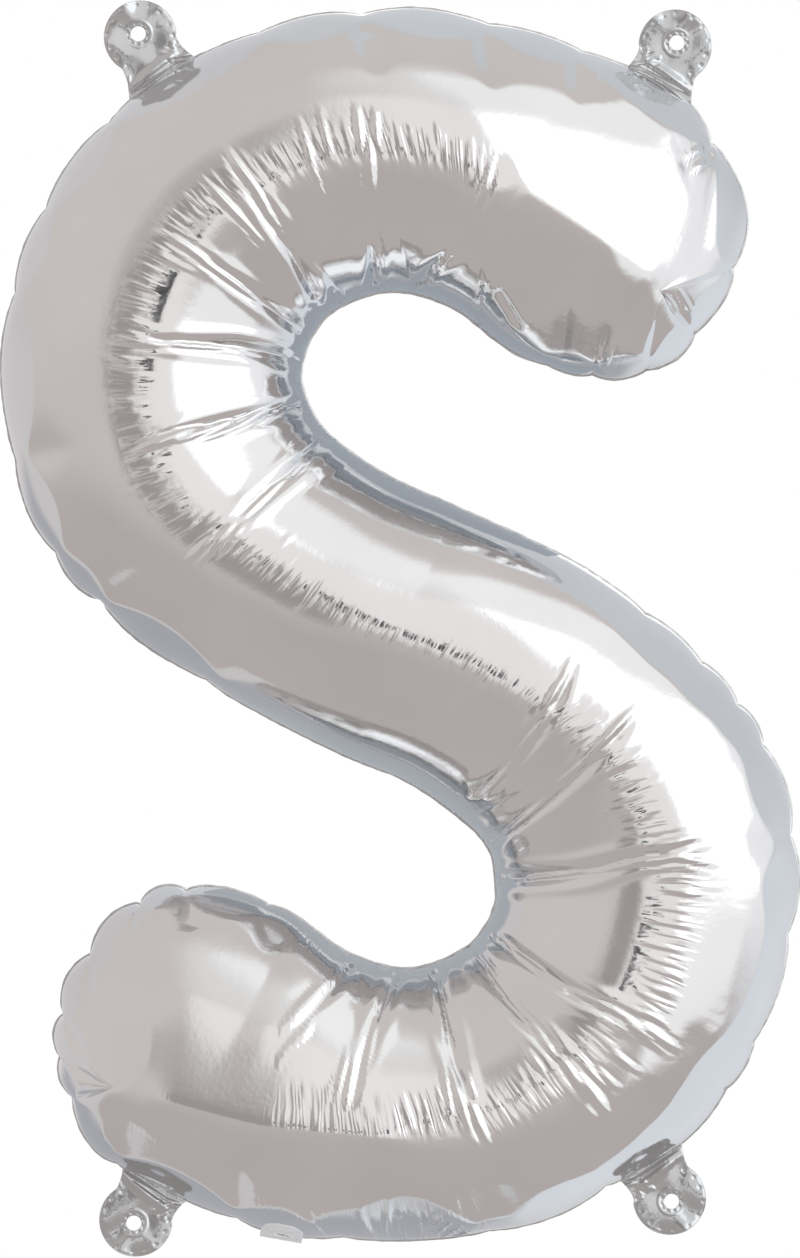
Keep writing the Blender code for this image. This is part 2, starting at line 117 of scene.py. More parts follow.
# Its measures are averaged over one part in so many of the stations: width and bend, depth and crest, lobe creases
WIDTH_SMOOTHING = 30
PROFILE_SMOOTHING = 60
LENS_SMOOTHING = 130

# On a bend the section is fuller outside the crest and slacker inside it: changes of its power, and the bend for all
OUTER_FULLNESS = 0.35
INNER_SLACK = 0.15
FULL_BEND = 0.4
BEND_FADE = 30.0

# Facets between the deep folds: how far they move the section for each square millimetre of their length, the limit,
# the balance of their middle and edges, the share and fade of the half facets past the last folds, and the greatest
# slant of a fold
FACET_SHIFT = 0.0021
FACET_SHIFT_MAX = 2.2
FACET_BALANCE = 0.35
FACET_END_SHARE = 0.65
FACET_END_FADE = 12.0
MAX_SLANT = 0.6

# Creases behind the outer lobes: how far in they start at a cusp, their least distance, how much they bow, and the
# slopes on both sides
LENS_CUSP = 3.2
LENS_LEAST = 2.4
LENS_BOW = 0.10
LENS_BOW_MAX = 3.0
LENS_OUTER_SLOPE = 1.15
LENS_INNER_SLOPE = 0.88

# How softly the film leaves such a crease: at the crease, how much more further in, over what distance, and how far
# in the crease's own corner is filled
LENS_SOFT = 0.15
LENS_SOFT_GAIN = 0.65
LENS_SOFT_REACH = 6.0
LENS_FILL_REACH = 4.0

# Half depth of the inflated section at stations along the letter
DEPTHS = [
    (2.0, 23.0), (3.0, 28.7), (4.4, 35.0), (5.5, 34.5), (8.0, 33.0), (10.5, 32.5), (13.0, 34.5), (14.5, 36.5),
    (16.0, 36.5), (17.5, 34.5), (20.0, 33.0), (23.0, 33.0), (25.0, 33.5), (26.0, 32.0), (27.0, 29.0), (28.0, 25.6),
]

# How far the crest leaves the middle of the section: station, and share of the half width to the first seam
CREST = [
    (2.0, -0.38), (3.0, -0.20), (4.0, 0.0), (22.5, 0.0), (24.0, -0.12), (25.0, -0.20), (26.0, -0.31), (27.0, -0.41),
    (28.0, -0.46),
]

# Creases of some of the front's lobes, in the photograph's pixels, how far in from the seam they are looked for, and
# how near a column they have to pass
LENS_LINE_SPAN = (0.5, 22.0)
LENS_LINE_GAP = 0.6
LENS_LINES = [
    ((574, 590), (606, 624), (640, 652), (681, 692), (736, 747), (759, 816), (778, 844)),
    ((778, 844), (761, 876), (764, 922), (759, 968), (745, 1000), (716, 1036), (688, 1062), (666, 1106), (627, 1147),
     (580, 1174), (540, 1192), (508, 1222)),
    ((304, 1238), (312, 1222), (330, 1208), (360, 1204), (386, 1194), (415, 1192), (440, 1202), (466, 1222),
     (484, 1236)),
]

# In the tables from here to the crinkled patches, places are in the photograph's pixels and other measures in mm.
# Deep folds: points from the inner seam outwards, depth and half width
UPPER_FOLDS = [
    (((520, 330), (497, 292), (517, 277)), 0.5, 2.0),
    (((415, 291), (432, 270), (457, 255), (480, 205), (495, 165)), 1.1, 2.6),
    (((374, 289), (376, 240), (372, 200), (370, 135)), 1.3, 2.8),
    (((320, 304), (294, 257), (255, 198), (226, 152)), 1.4, 2.8),
    (((305, 335), (259, 302), (205, 262), (154, 231)), 0.8, 2.4),
    (((301, 362), (240, 349), (180, 346), (116, 343)), 1.4, 2.8),
    (((304, 406), (235, 422), (192, 431), (133, 456)), 1.4, 3.0),
    (((329, 435), (290, 475), (237, 524), (188, 563)), 1.3, 3.0),
]
LOWER_FOLDS = [
    (((470, 795), (500, 772), (531, 738), (555, 703), (578, 652)), 1.1, 2.8),
    (((488, 842), (551, 795), (594, 758), (636, 714)), 1.2, 3.0),
    (((497, 878), (578, 871), (637, 853), (716, 846)), 1.4, 3.0),
    (((486, 932), (523, 955), (570, 988), (627, 1014), (677, 1045)), 1.4, 3.0),
    (((468, 946), (516, 1008), (547, 1039), (600, 1108)), 1.4, 3.0),
    (((434, 966), (446, 1020), (458, 1070), (482, 1140)), 1.4, 3.0),
    (((398, 970), (384, 1000), (362, 1060), (346, 1110)), 1.3, 2.8),
    (((352, 962), (325, 995), (300, 1019)), 0.9, 2.6),
]

# Leaf-shaped pleats: both ends, half width and height
PLEATS = [
    ((226, 151), (264, 206), 1.3, 1.1), ((244, 170), (290, 250), 1.2, 1.0), ((256, 198), (278, 232), 1.0, 0.7),
    ((201, 180), (262, 243), 1.2, 1.0), ((240, 218), (276, 262), 0.9, 0.7), ((154, 231), (222, 270), 1.2, 0.9),
    ((172, 240), (240, 290), 1.0, 0.8), ((196, 258), (262, 306), 1.1, 0.9), ((150, 254), (200, 278), 0.9, 0.5),
    ((116, 343), (172, 350), 1.2, 0.9), ((128, 336), (160, 346), 0.9, 0.6), ((160, 347), (232, 352), 1.0, 0.8),
    ((132, 456), (206, 428), 1.6, 1.2), ((168, 448), (236, 423), 1.3, 1.1), ((196, 446), (262, 420), 1.3, 1.1),
    ((228, 432), (286, 404), 1.1, 0.9), ((250, 432), (300, 404), 0.9, 0.8),
    ((188, 563), (222, 533), 1.4, 1.1), ((200, 566), (240, 520), 1.2, 1.0), ((218, 560), (250, 520), 1.0, 0.8),
    ((236, 528), (288, 478), 1.0, 0.8), ((280, 470), (328, 430), 1.1, 0.9), ((292, 462), (322, 424), 0.8, 0.7),
    ((357, 110), (363, 166), 1.4, 1.1), ((376, 114), (377, 158), 1.2, 1.0), ((369, 134), (374, 232), 1.7, 1.4),
    ((366, 170), (372, 250), 0.9, 0.7), ((374, 222), (380, 290), 1.1, 0.9), ((387, 190), (380, 240), 0.8, 0.6),
    ((496, 160), (478, 200), 1.0, 0.9), ((494, 172), (462, 240), 1.2, 1.1), ((484, 210), (452, 262), 1.0, 0.9),
    ((470, 236), (424, 286), 1.1, 0.9), ((520, 186), (486, 232), 0.7, 0.4), ((516, 278), (478, 298), 1.1, 1.0),
    ((510, 288), (470, 302), 0.8, 0.7), ((498, 280), (474, 290), 0.8, 0.6),
    ((300, 124), (318, 186), 1.0, 0.8), ((320, 112), (334, 176), 0.9, 0.7), ((306, 150), (328, 212), 0.7, 0.5),
    ((566, 668), (538, 716), 1.4, 1.0), ((572, 652), (556, 690), 1.1, 0.8), ((552, 704), (504, 776), 1.3, 1.0),
    ((545, 712), (500, 770), 0.9, 0.8), ((526, 744), (478, 800), 1.0, 0.9), ((520, 760), (486, 808), 0.8, 0.6),
    ((638, 700), (588, 752), 1.4, 1.0), ((628, 714), (572, 768), 1.1, 0.9), ((602, 742), (536, 800), 1.2, 0.9),
    ((574, 772), (500, 836), 1.1, 0.9), ((548, 796), (494, 840), 0.9, 0.8), ((646, 744), (598, 776), 1.0, 0.5),
    ((700, 832), (640, 846), 1.6, 1.1), ((714, 862), (660, 852), 1.3, 1.0), ((690, 850), (628, 862), 1.2, 1.0),
    ((664, 852), (590, 870), 1.1, 0.8), ((590, 868), (500, 880), 0.7, 0.6), ((706, 868), (664, 862), 0.9, 0.6),
    ((676, 1046), (630, 1014), 1.6, 1.2), ((664, 1050), (612, 1004), 1.3, 0.9), ((640, 1020), (566, 984), 1.1, 0.8),
    ((566, 988), (492, 934), 0.9, 0.8), ((516, 950), (486, 922), 0.8, 0.6), ((668, 1022), (634, 1002), 0.9, 0.6),
    ((608, 1112), (574, 1064), 1.8, 1.3), ((590, 1100), (556, 1046), 1.4, 1.1), ((604, 1086), (572, 1044), 1.0, 0.8),
    ((560, 1060), (524, 1010), 1.2, 0.9), ((528, 1020), (472, 944), 1.0, 0.8), ((500, 976), (468, 942), 0.8, 0.7),
    ((489, 1142), (462, 1080), 1.5, 1.2), ((470, 1128), (446, 1050), 1.7, 1.3), ((452, 1120), (440, 1040), 1.2, 1.0),
    ((478, 1106), (462, 1056), 1.0, 0.8), ((446, 1060), (432, 968), 1.1, 0.9), ((456, 1040), (440, 980), 0.8, 0.7),
    ((344, 1112), (356, 1050), 1.3, 1.1), ((334, 1102), (350, 1040), 1.0, 0.9), ((362, 1078), (378, 1010), 1.1, 0.9),
    ((376, 1030), (398, 974), 1.0, 0.8), ((324, 1098), (342, 1060), 0.8, 0.6),
    ((276, 1030), (322, 990), 1.5, 1.1), ((282, 1016), (330, 978), 1.2, 0.9), ((288, 1050), (318, 1012), 1.2, 0.8),
    ((274, 1062), (306, 1024), 1.0, 0.6), ((300, 1000), (348, 966), 1.0, 0.8),
    ((546, 1072), (520, 1036), 1.1, 0.8), ((640, 1070), (604, 1042), 1.0, 0.6), ((620, 1088), (592, 1060), 0.9, 0.6),
    ((686, 158), (704, 150), 1.3, 0.8), ((690, 172), (708, 164), 1.1, 0.7), ((662, 296), (678, 318), 1.1, 0.8),
    ((676, 290), (694, 322), 1.1, 0.8), ((612, 342), (604, 368), 1.2, 0.9), ((600, 346), (596, 370), 0.9, 0.7),
    ((694, 158), (676, 160), 0.9, 0.5), ((596, 62), (592, 104), 0.9, 0.5),
    ((358, 1194), (364, 1210), 0.8, 0.7), ((313, 1200), (319, 1217), 0.8, 0.6), ((305, 1210), (326, 1235), 1.0, 0.7),
    ((357, 1198), (372, 1236), 1.1, 0.9), ((391, 1190), (385, 1220), 1.2, 0.9), ((397, 1190), (399, 1210), 0.8, 0.7),
    ((405, 1193), (400, 1213), 0.9, 0.7), ((413, 1196), (406, 1217), 0.9, 0.7), ((421, 1200), (411, 1220), 0.9, 0.8),
    ((430, 1203), (417, 1223), 0.9, 0.8), ((438, 1207), (423, 1227), 0.9, 0.8), ((447, 1207), (427, 1226), 1.1, 0.9),
    ((454, 1213), (433, 1233), 1.0, 0.8), ((463, 1219), (440, 1237), 1.0, 0.8), ((472, 1226), (452, 1238), 0.9, 0.7),
]

# Soft creases where two smooth areas of film meet: points, height and reach in mm, a valley if negative
CREASES = [
    (((500, 156), (528, 196), (600, 242), (664, 292)), 1.30, 9.0),
    (((112, 128), (104, 160), (90, 180)), -0.35, 6.0),
    (((52, 206), (76, 196), (110, 186), (136, 200)), 0.25, 6.0),
    (((192, 56), (180, 84), (160, 108)), -0.30, 6.0),
    (((209, 676), (196, 632), (176, 588), (196, 566)), -0.45, 7.0),
    (((109, 596), (140, 592), (176, 588)), -0.25, 6.0),
    (((788, 836), (744, 838), (716, 846)), -0.60, 7.0),
    (((697, 664), (660, 640), (600, 610)), 0.30, 6.0),
    (((680, 1046), (640, 1100), (560, 1150), (470, 1186)), 0.40, 8.0),
    (((784, 930), (752, 1000), (690, 1042)), 0.40, 8.0),
    (((98, 951), (134, 984), (154, 1026), (152, 1056), (133, 1084), (78, 1096)), 0.7, 7.0),
    (((133, 1084), (168, 1093), (257, 1116), (347, 1126), (420, 1136)), 0.9, 9.0),
    (((134, 984), (200, 990), (290, 1030)), 0.30, 9.0),
    (((128, 1168), (136, 1140), (150, 1120)), -0.30, 5.0),
    (((100, 950), (112, 962), (128, 972)), -0.50, 4.0),
    (((188, 894), (190, 910), (192, 930)), -0.60, 4.0),
    (((268, 907), (262, 922), (280, 950)), -0.30, 5.0),
    (((550, 366), (540, 350), (500, 318)), 0.45, 4.0),
    (((711, 150), (690, 165), (676, 168)), -0.60, 4.0),
    (((666, 90), (672, 112), (690, 140)), 0.30, 5.0),
    (((592, 56), (594, 80), (598, 104)), -0.40, 4.0),
    (((363, 14), (366, 30), (372, 44)), -0.40, 4.0),
]

# Bands of short wrinkles: two places on the spine, limits across it (positive outwards), spacing, length, height
BANDS = [
    ((495, 160), (380, 150), -10.0, 11.0, 2.3, 14.0, 0.30),
    ((380, 150), (226, 190), -10.0, 11.0, 2.4, 13.0, 0.22),
    ((226, 190), (150, 330), 0.0, 12.0, 1.9, 10.0, 0.26),
    ((150, 330), (190, 545), 0.0, 12.0, 1.9, 11.0, 0.30),
    ((190, 545), (330, 600), -8.0, 7.0, 2.6, 12.0, 0.20),
    ((330, 600), (560, 700), -8.0, 7.0, 4.0, 12.0, 0.07),
    ((560, 700), (640, 850), -8.0, 11.0, 2.2, 12.0, 0.24),
    ((640, 850), (640, 1020), 0.0, 18.0, 2.3, 15.0, 0.36),
    ((640, 1020), (470, 1110), -10.0, 10.0, 2.3, 13.0, 0.28),
    ((470, 1110), (280, 1090), -16.0, 6.0, 3.0, 15.0, 0.34),
]

# Puckers that run out from a seam: two places on it, spacing, length, height
PUCKERS = [
    ((500, 342), (300, 350), 3.2, 7.0, 0.45),
    ((300, 350), (420, 492), 3.0, 6.0, 0.50),
    ((420, 492), (600, 580), 6.0, 5.0, 0.25),
    ((209, 682), (400, 782), 7.0, 5.0, 0.25),
    ((400, 782), (494, 900), 3.4, 6.5, 0.45),
    ((494, 900), (300, 920), 3.0, 7.5, 0.50),
]

# Crinkled patches away from the bands: centre, reach, strength
CRINKLED_PATCHES = [
    ((440, 1216), 12.0, 1.6), ((395, 1208), 8.0, 1.2), ((345, 1224), 9.0, 0.4), ((150, 1112), 8.0, 0.5),
    ((692, 160), 5.0, 0.6), ((668, 308), 6.0, 0.6), ((606, 356), 5.0, 0.6), ((312, 930), 8.0, 0.7),
    ((286, 1204), 8.0, 1.3),
]

# Fine crinkles: how strong and how far in they are at an inner seam, their spacing, length and height, and the height
# of a band's wrinkles at which they are full
SEAM_CRINKLE = 0.6
SEAM_CRINKLE_REACH = 12.0
CRINKLE_SPACING = 1.7
CRINKLE_LENGTH = 13.0
CRINKLE_HEIGHT = 0.17
FULL_CRINKLE = 0.36

# The welded seam's strip: its rows from the inner one out, each with its distance from the seam and how freely it
# wanders and ripples, from 0 to 1, then its thickness and how far it wanders and ripples
STRIP_ROWS = ((-2.6, 0.0), (-1.2, 0.0), (-0.35, 1.0), (0.0, 1.0))
STRIP_THICKNESS = 0.22
STRIP_WANDER = 0.10
STRIP_RIPPLE = 0.12

# Hanging tabs: the CAD body, the disc's centre in x and z, and the side that is crumpled
TABS = {
    "tab_upper_left": ("hanging_tab_upper_left", (-76.2, 0.5), 1.0),
    "tab_upper_right": ("hanging_tab_upper_right", (76.2, -2.1), -1.0),
    "tab_lower_left": ("hanging_tab_lower_left", (-77.5, -336.6), -1.0),
    "tab_lower_right": ("hanging_tab_lower_right", (74.6, -330.4), 1.0),
}

# Their thickness, the disc's radius, the hole's radius and how far out it lies from the disc's centre, the radius of
# the ring round it, and how far the film runs in behind the hinge
TAB_THICKNESS = 0.24
TAB_RADIUS = 10.45
HOLE_RADIUS = 2.15
HOLE_OFFSET = 1.1
RING_RADIUS = 3.7
TAB_TUCK = 1.8

# Half widths of a tab below its disc: distance under the disc's centre, plain side, crumpled side
TAB_FLANKS = (
    (5.0, 9.35, 8.8), (7.0, 9.7, 8.4), (9.0, 10.3, 8.5), (11.0, 11.3, 8.9), (13.0, 12.4, 9.7), (16.0, 12.8, 10.4),
)

# The folds across a tab's root: both ends along the crease and outwards, half width and height
TAB_FOLDS = (
    ((-10.2, 1.8), (5.6, 3.5), 1.15, 1.05), ((-10.0, 0.9), (9.0, 1.2), 0.42, 0.45),
    ((4.8, 2.4), (9.6, 0.4), 0.40, 0.50), ((4.2, 1.2), (10.0, -0.6), 0.36, 0.40),
)

# The valve tail, with the rolled crease at its root
TAIL_WIDTH = 12.0
TAIL_LENGTH = 22.0
TAIL_CURL_RADIUS = 45.0
TAIL_PORT_ALONG = 12.0
TAIL_BEAD_RADIUS = 0.45
TAIL_METALLIC = 0.15

# Painted shade: grey cards that glow, stand in the letter's two bays behind the seam and show only in the film's
# reflections, where they paint the shade of the bays: corners in the photograph's pixels, and colour
BAY_SHADE_CARDS = {
    "upper_shade_card": (((312, 380), (320, 330), (360, 296), (420, 292), (480, 310), (530, 350), (566, 376), (600, 450),
                    (570, 540), (470, 505), (400, 470), (345, 430)), (0.42, 0.46, 0.51)),
    "lower_shade_card": (((490, 850), (470, 800), (420, 770), (360, 745), (290, 715), (232, 690), (216, 760), (240, 880),
                    (290, 920), (340, 950), (400, 965), (450, 945), (480, 905)), (0.50, 0.53, 0.57)),
}
# How far behind the seam the painted-shade cards stand, in mm
SHADE_CARD_Y = 24.0

# The films: darkest and palest colour, roughness, and the size and height of their ripples in mm
FILMS = {
    "foil_film": ((0.685, 0.69, 0.70), (0.72, 0.725, 0.735), 0.09, 1.6, 0.02),
    "welded_film": ((0.50, 0.50, 0.51), (0.60, 0.60, 0.61), 0.26, 0.7, 0.03),
    "tab_film": ((0.50, 0.52, 0.535), (0.56, 0.58, 0.595), 0.13, 1.1, 0.03),
    "tail_film": ((0.74, 0.75, 0.77), (0.82, 0.83, 0.85), 0.30, 1.0, 0.03),
}

# The floor's height and corners
FLOOR_Z = -400.0
FLOOR_CORNERS = ((-2500.0, -2500.0), (2500.0, -2500.0), (2500.0, 480.0), (-2500.0, 480.0))

# The room that the film mirrors, in front and behind: areas in the order in which they are laid on. A round spot has
# its azimuth, elevation, and inner and outer angle in degrees, and a straight-edged panel its azimuth, elevation, and
# half width, half height and softness as tangents. The colour follows
FRONT_AREAS = (
    ((-9.0, 9.0, 3.0, 18.0), (0.58, 0.54, 0.52)), ((-10.5, 0.0, 5.5, 12.0), (0.44, 0.405, 0.39)),
    ((74.0, 12.0, 0.20, 0.50, 0.14), (1.14, 1.13, 1.15)), ((19.0, 42.0, 0.36, 0.30, 0.20), (0.97, 0.95, 0.93)),
    ((13.0, 12.0, 0.33, 0.36, 0.08), (1.08, 1.04, 1.02)), ((43.0, 18.0, 0.50, 0.84, 0.10), (1.16, 1.15, 1.14)),
    ((43.0, 14.5, 0.50, 0.36, 0.06), (1.75, 1.75, 1.76)),
)
BACK_AREAS = (
    ((115.0, -35.0, 20.0, 55.0), (0.90, 0.94, 0.99)), ((-157.0, -38.0, 0.45, 0.55, 0.12), (0.50, 0.51, 0.54)),
    ((175.0, 7.0, 0.16, 0.20, 0.06), (1.40, 1.40, 1.41)),
)
CAMERA_SPOT = ((0.0, 0.0, 2.2, 2.8), (0.03, 0.03, 0.03))

# The film panels: side, stations along the letter, columns round each end, rows from seam to spine, seed, and how far
# the folds' places are moved at random. Then the seeds of the other pieces
PANELS = {
    "front_foil": (-1.0, 780, 216, 50, 41, 0.0),
    "back_foil": (1.0, 640, 160, 40, 97, 5.0),
}
TAB_SEED = 12
STRIP_SEED = 5
TAIL_SEED = 23


def millimetres(place):
    """Turn a place in the photograph's pixels into x and z at the seam."""
    return np.array(((place[0] - ORIGIN_PX[0]) * PIXEL, (ORIGIN_PX[1] - place[1]) * PIXEL))


def flat_line(places):
    """Turn a line in the photograph's pixels into points in x and z."""
    return np.array([millimetres(place) for place in places])


def lengths_along(points):
    """Give each point's distance along a polyline."""
    steps = np.linalg.norm(np.diff(points, axis=0), axis=1)
    return np.concatenate(([0.0], np.cumsum(steps)))


def lengths_inward(grid):
    """Give each point's distance along its column."""
    steps = np.linalg.norm(np.diff(grid, axis=1), axis=2)
    return np.concatenate((np.zeros((len(grid), 1)), np.cumsum(steps, axis=1)), axis=1)


def right_of(way):
    """Turn a flat direction a quarter clockwise."""
    return np.array((way[1], -way[0]))


def bell(values, centre, width):
    """Give 1 at the centre and less on both sides of it."""
    return np.exp(-((values - centre) / width) ** 2)


def even(start, end, count, curve):
    """Give parameters from start to end, evenly spaced along a curve."""
    fine = np.linspace(start, end, 2001)
    lengths = lengths_along(curve(fine))
    return np.interp(np.linspace(0.0, lengths[-1], count), lengths, fine)


def resample(points, count):
    """Give evenly spaced points along a polyline."""
    lengths = lengths_along(points)
    places = np.linspace(0.0, lengths[-1], count)
    return np.column_stack([np.interp(places, lengths, points[:, axis]) for axis in range(points.shape[1])])


def smooth(values, reach):
    """Average along a row of values."""
    kernel = np.hanning(2 * reach + 3)[1:-1]
    kernel /= kernel.sum()
    return np.convolve(np.pad(values, reach, mode="reflect", reflect_type="odd"), kernel, "valid")


class Outline:
    """The seam of the inflated letter, anticlockwise as it is read, with its scallops."""

    SAMPLES_PER_UNIT = 40

    def __init__(self):
        loop = [UPPER_TIP] + [rib[0] for rib in RIBS] + [LOWER_TIP] + [rib[1] for rib in RIBS][::-1]
        self.points = np.array(loop)
        self.count = len(loop)
        self.parameters = np.arange(self.count * self.SAMPLES_PER_UNIT + 1) / self.SAMPLES_PER_UNIT
        self.samples = self.at(self.parameters)
        self.lengths = lengths_along(self.samples)
        self.total = self.lengths[-1]
        self.runs = [self.place_cusps(cusps) for cusps in (UPPER_CUSPS, LOWER_CUSPS)]

    def at(self, parameters):
        """Give points of the curve, a centripetal Catmull-Rom spline."""
        index = np.floor(parameters).astype(int)
        share = (parameters - index)[:, None]
        p0, p1, p2, p3 = (self.points[(index + k) % self.count] for k in (-1, 0, 1, 2))
        t1 = np.sqrt(np.linalg.norm(p1 - p0, axis=1))[:, None]
        t2 = t1 + np.sqrt(np.linalg.norm(p2 - p1, axis=1))[:, None]
        t3 = t2 + np.sqrt(np.linalg.norm(p3 - p2, axis=1))[:, None]
        t = t1 + share * (t2 - t1)
        a1 = (t1 - t) / t1 * p0 + t / t1 * p1
        a2 = (t2 - t) / (t2 - t1) * p1 + (t - t1) / (t2 - t1) * p2
        a3 = (t3 - t) / (t3 - t2) * p2 + (t - t2) / (t3 - t2) * p3
        b1 = (t2 - t) / t2 * a1 + t / t2 * a2
        b2 = (t3 - t) / (t3 - t1) * a2 + (t - t1) / (t3 - t1) * a3
        return (t2 - t) / (t2 - t1) * b1 + (t - t1) / (t2 - t1) * b2

    def outward(self, parameters):
        """Give unit normals that point off the letter."""
        along = self.at(parameters + 0.02) - self.at(parameters - 0.02)
        along /= np.linalg.norm(along, axis=1)[:, None]
        return np.column_stack((along[:, 1], -along[:, 0]))

    def length_at(self, parameters):
        """Give distances along the seam."""
        return np.interp(parameters % self.count, self.parameters, self.lengths)

    def nearest_length(self, x, z):
        """Give the distance along the seam of its nearest point."""
        offsets = np.hypot(self.samples[:, 0] - x, self.samples[:, 1] - z)
        return self.lengths[np.argmin(offsets)]

    def place_cusps(self, cusps):
        """Give the first cusp's distance, the direction of the run, and each cusp's way along it and depth."""
        placed = [(self.nearest_length(x, z), depth) for x, z, depth in cusps]
        start = placed[0][0]
        clockwise = (placed[1][0] - start) % self.total > self.total / 2
        sign = -1.0 if clockwise else 1.0
        return start, sign, [((sign * (place - start)) % self.total, depth) for place, depth in placed]

    def scallop(self, parameters):
        """Give the outward shift of the seam: inwards at a cusp and outwards on a lobe."""
        lengths = self.length_at(parameters)
        shift = np.zeros(len(lengths))
        for inside, share, length, _, (low_depth, high_depth) in self.lobes(lengths):
            lobe = np.sin(np.pi * share) ** LOBE_ROUNDNESS
            depth = low_depth + (high_depth - low_depth) * share
            shift[inside] = lobe * min(LOBE_RISE * length, LOBE_RISE_MAX) - (1.0 - lobe) * depth
        for inside, left, depth in self.run_ends(lengths):
            shift[inside] = -depth * left ** 2
        return shift

    def lobes(self, lengths):
        """Give each lobe: the places on it, their shares along it, its length, and its cusps' places and depths."""
        for start, sign, cusps in self.runs:
            along = (sign * (lengths - start)) % self.total
            for (low, low_depth), (high, high_depth) in zip(cusps, cusps[1:]):
                inside = np.flatnonzero((along >= low) & (along <= high))
                places = (start + sign * np.array((low, high))) % self.total
                yield inside, (along[inside] - low) / (high - low), high - low, places, (low_depth, high_depth)

    def run_ends(self, lengths):
        """Give the places just past each run of lobes, what is left of it there, and its last cusp's depth."""
        for start, sign, cusps in self.runs:
            along = (sign * (lengths - start)) % self.total
            for past, depth in ((along - cusps[-1][0], cusps[-1][1]), (self.total - along, cusps[0][1])):
                inside = np.flatnonzero((past >= 0.0) & (past < RUN_FADE))
                yield inside, 1.0 - past[inside] / RUN_FADE, depth


def facet_shift(length):
    """Give how far a facet of a length moves the section."""
    return np.minimum(length ** 2 * FACET_SHIFT, FACET_SHIFT_MAX)


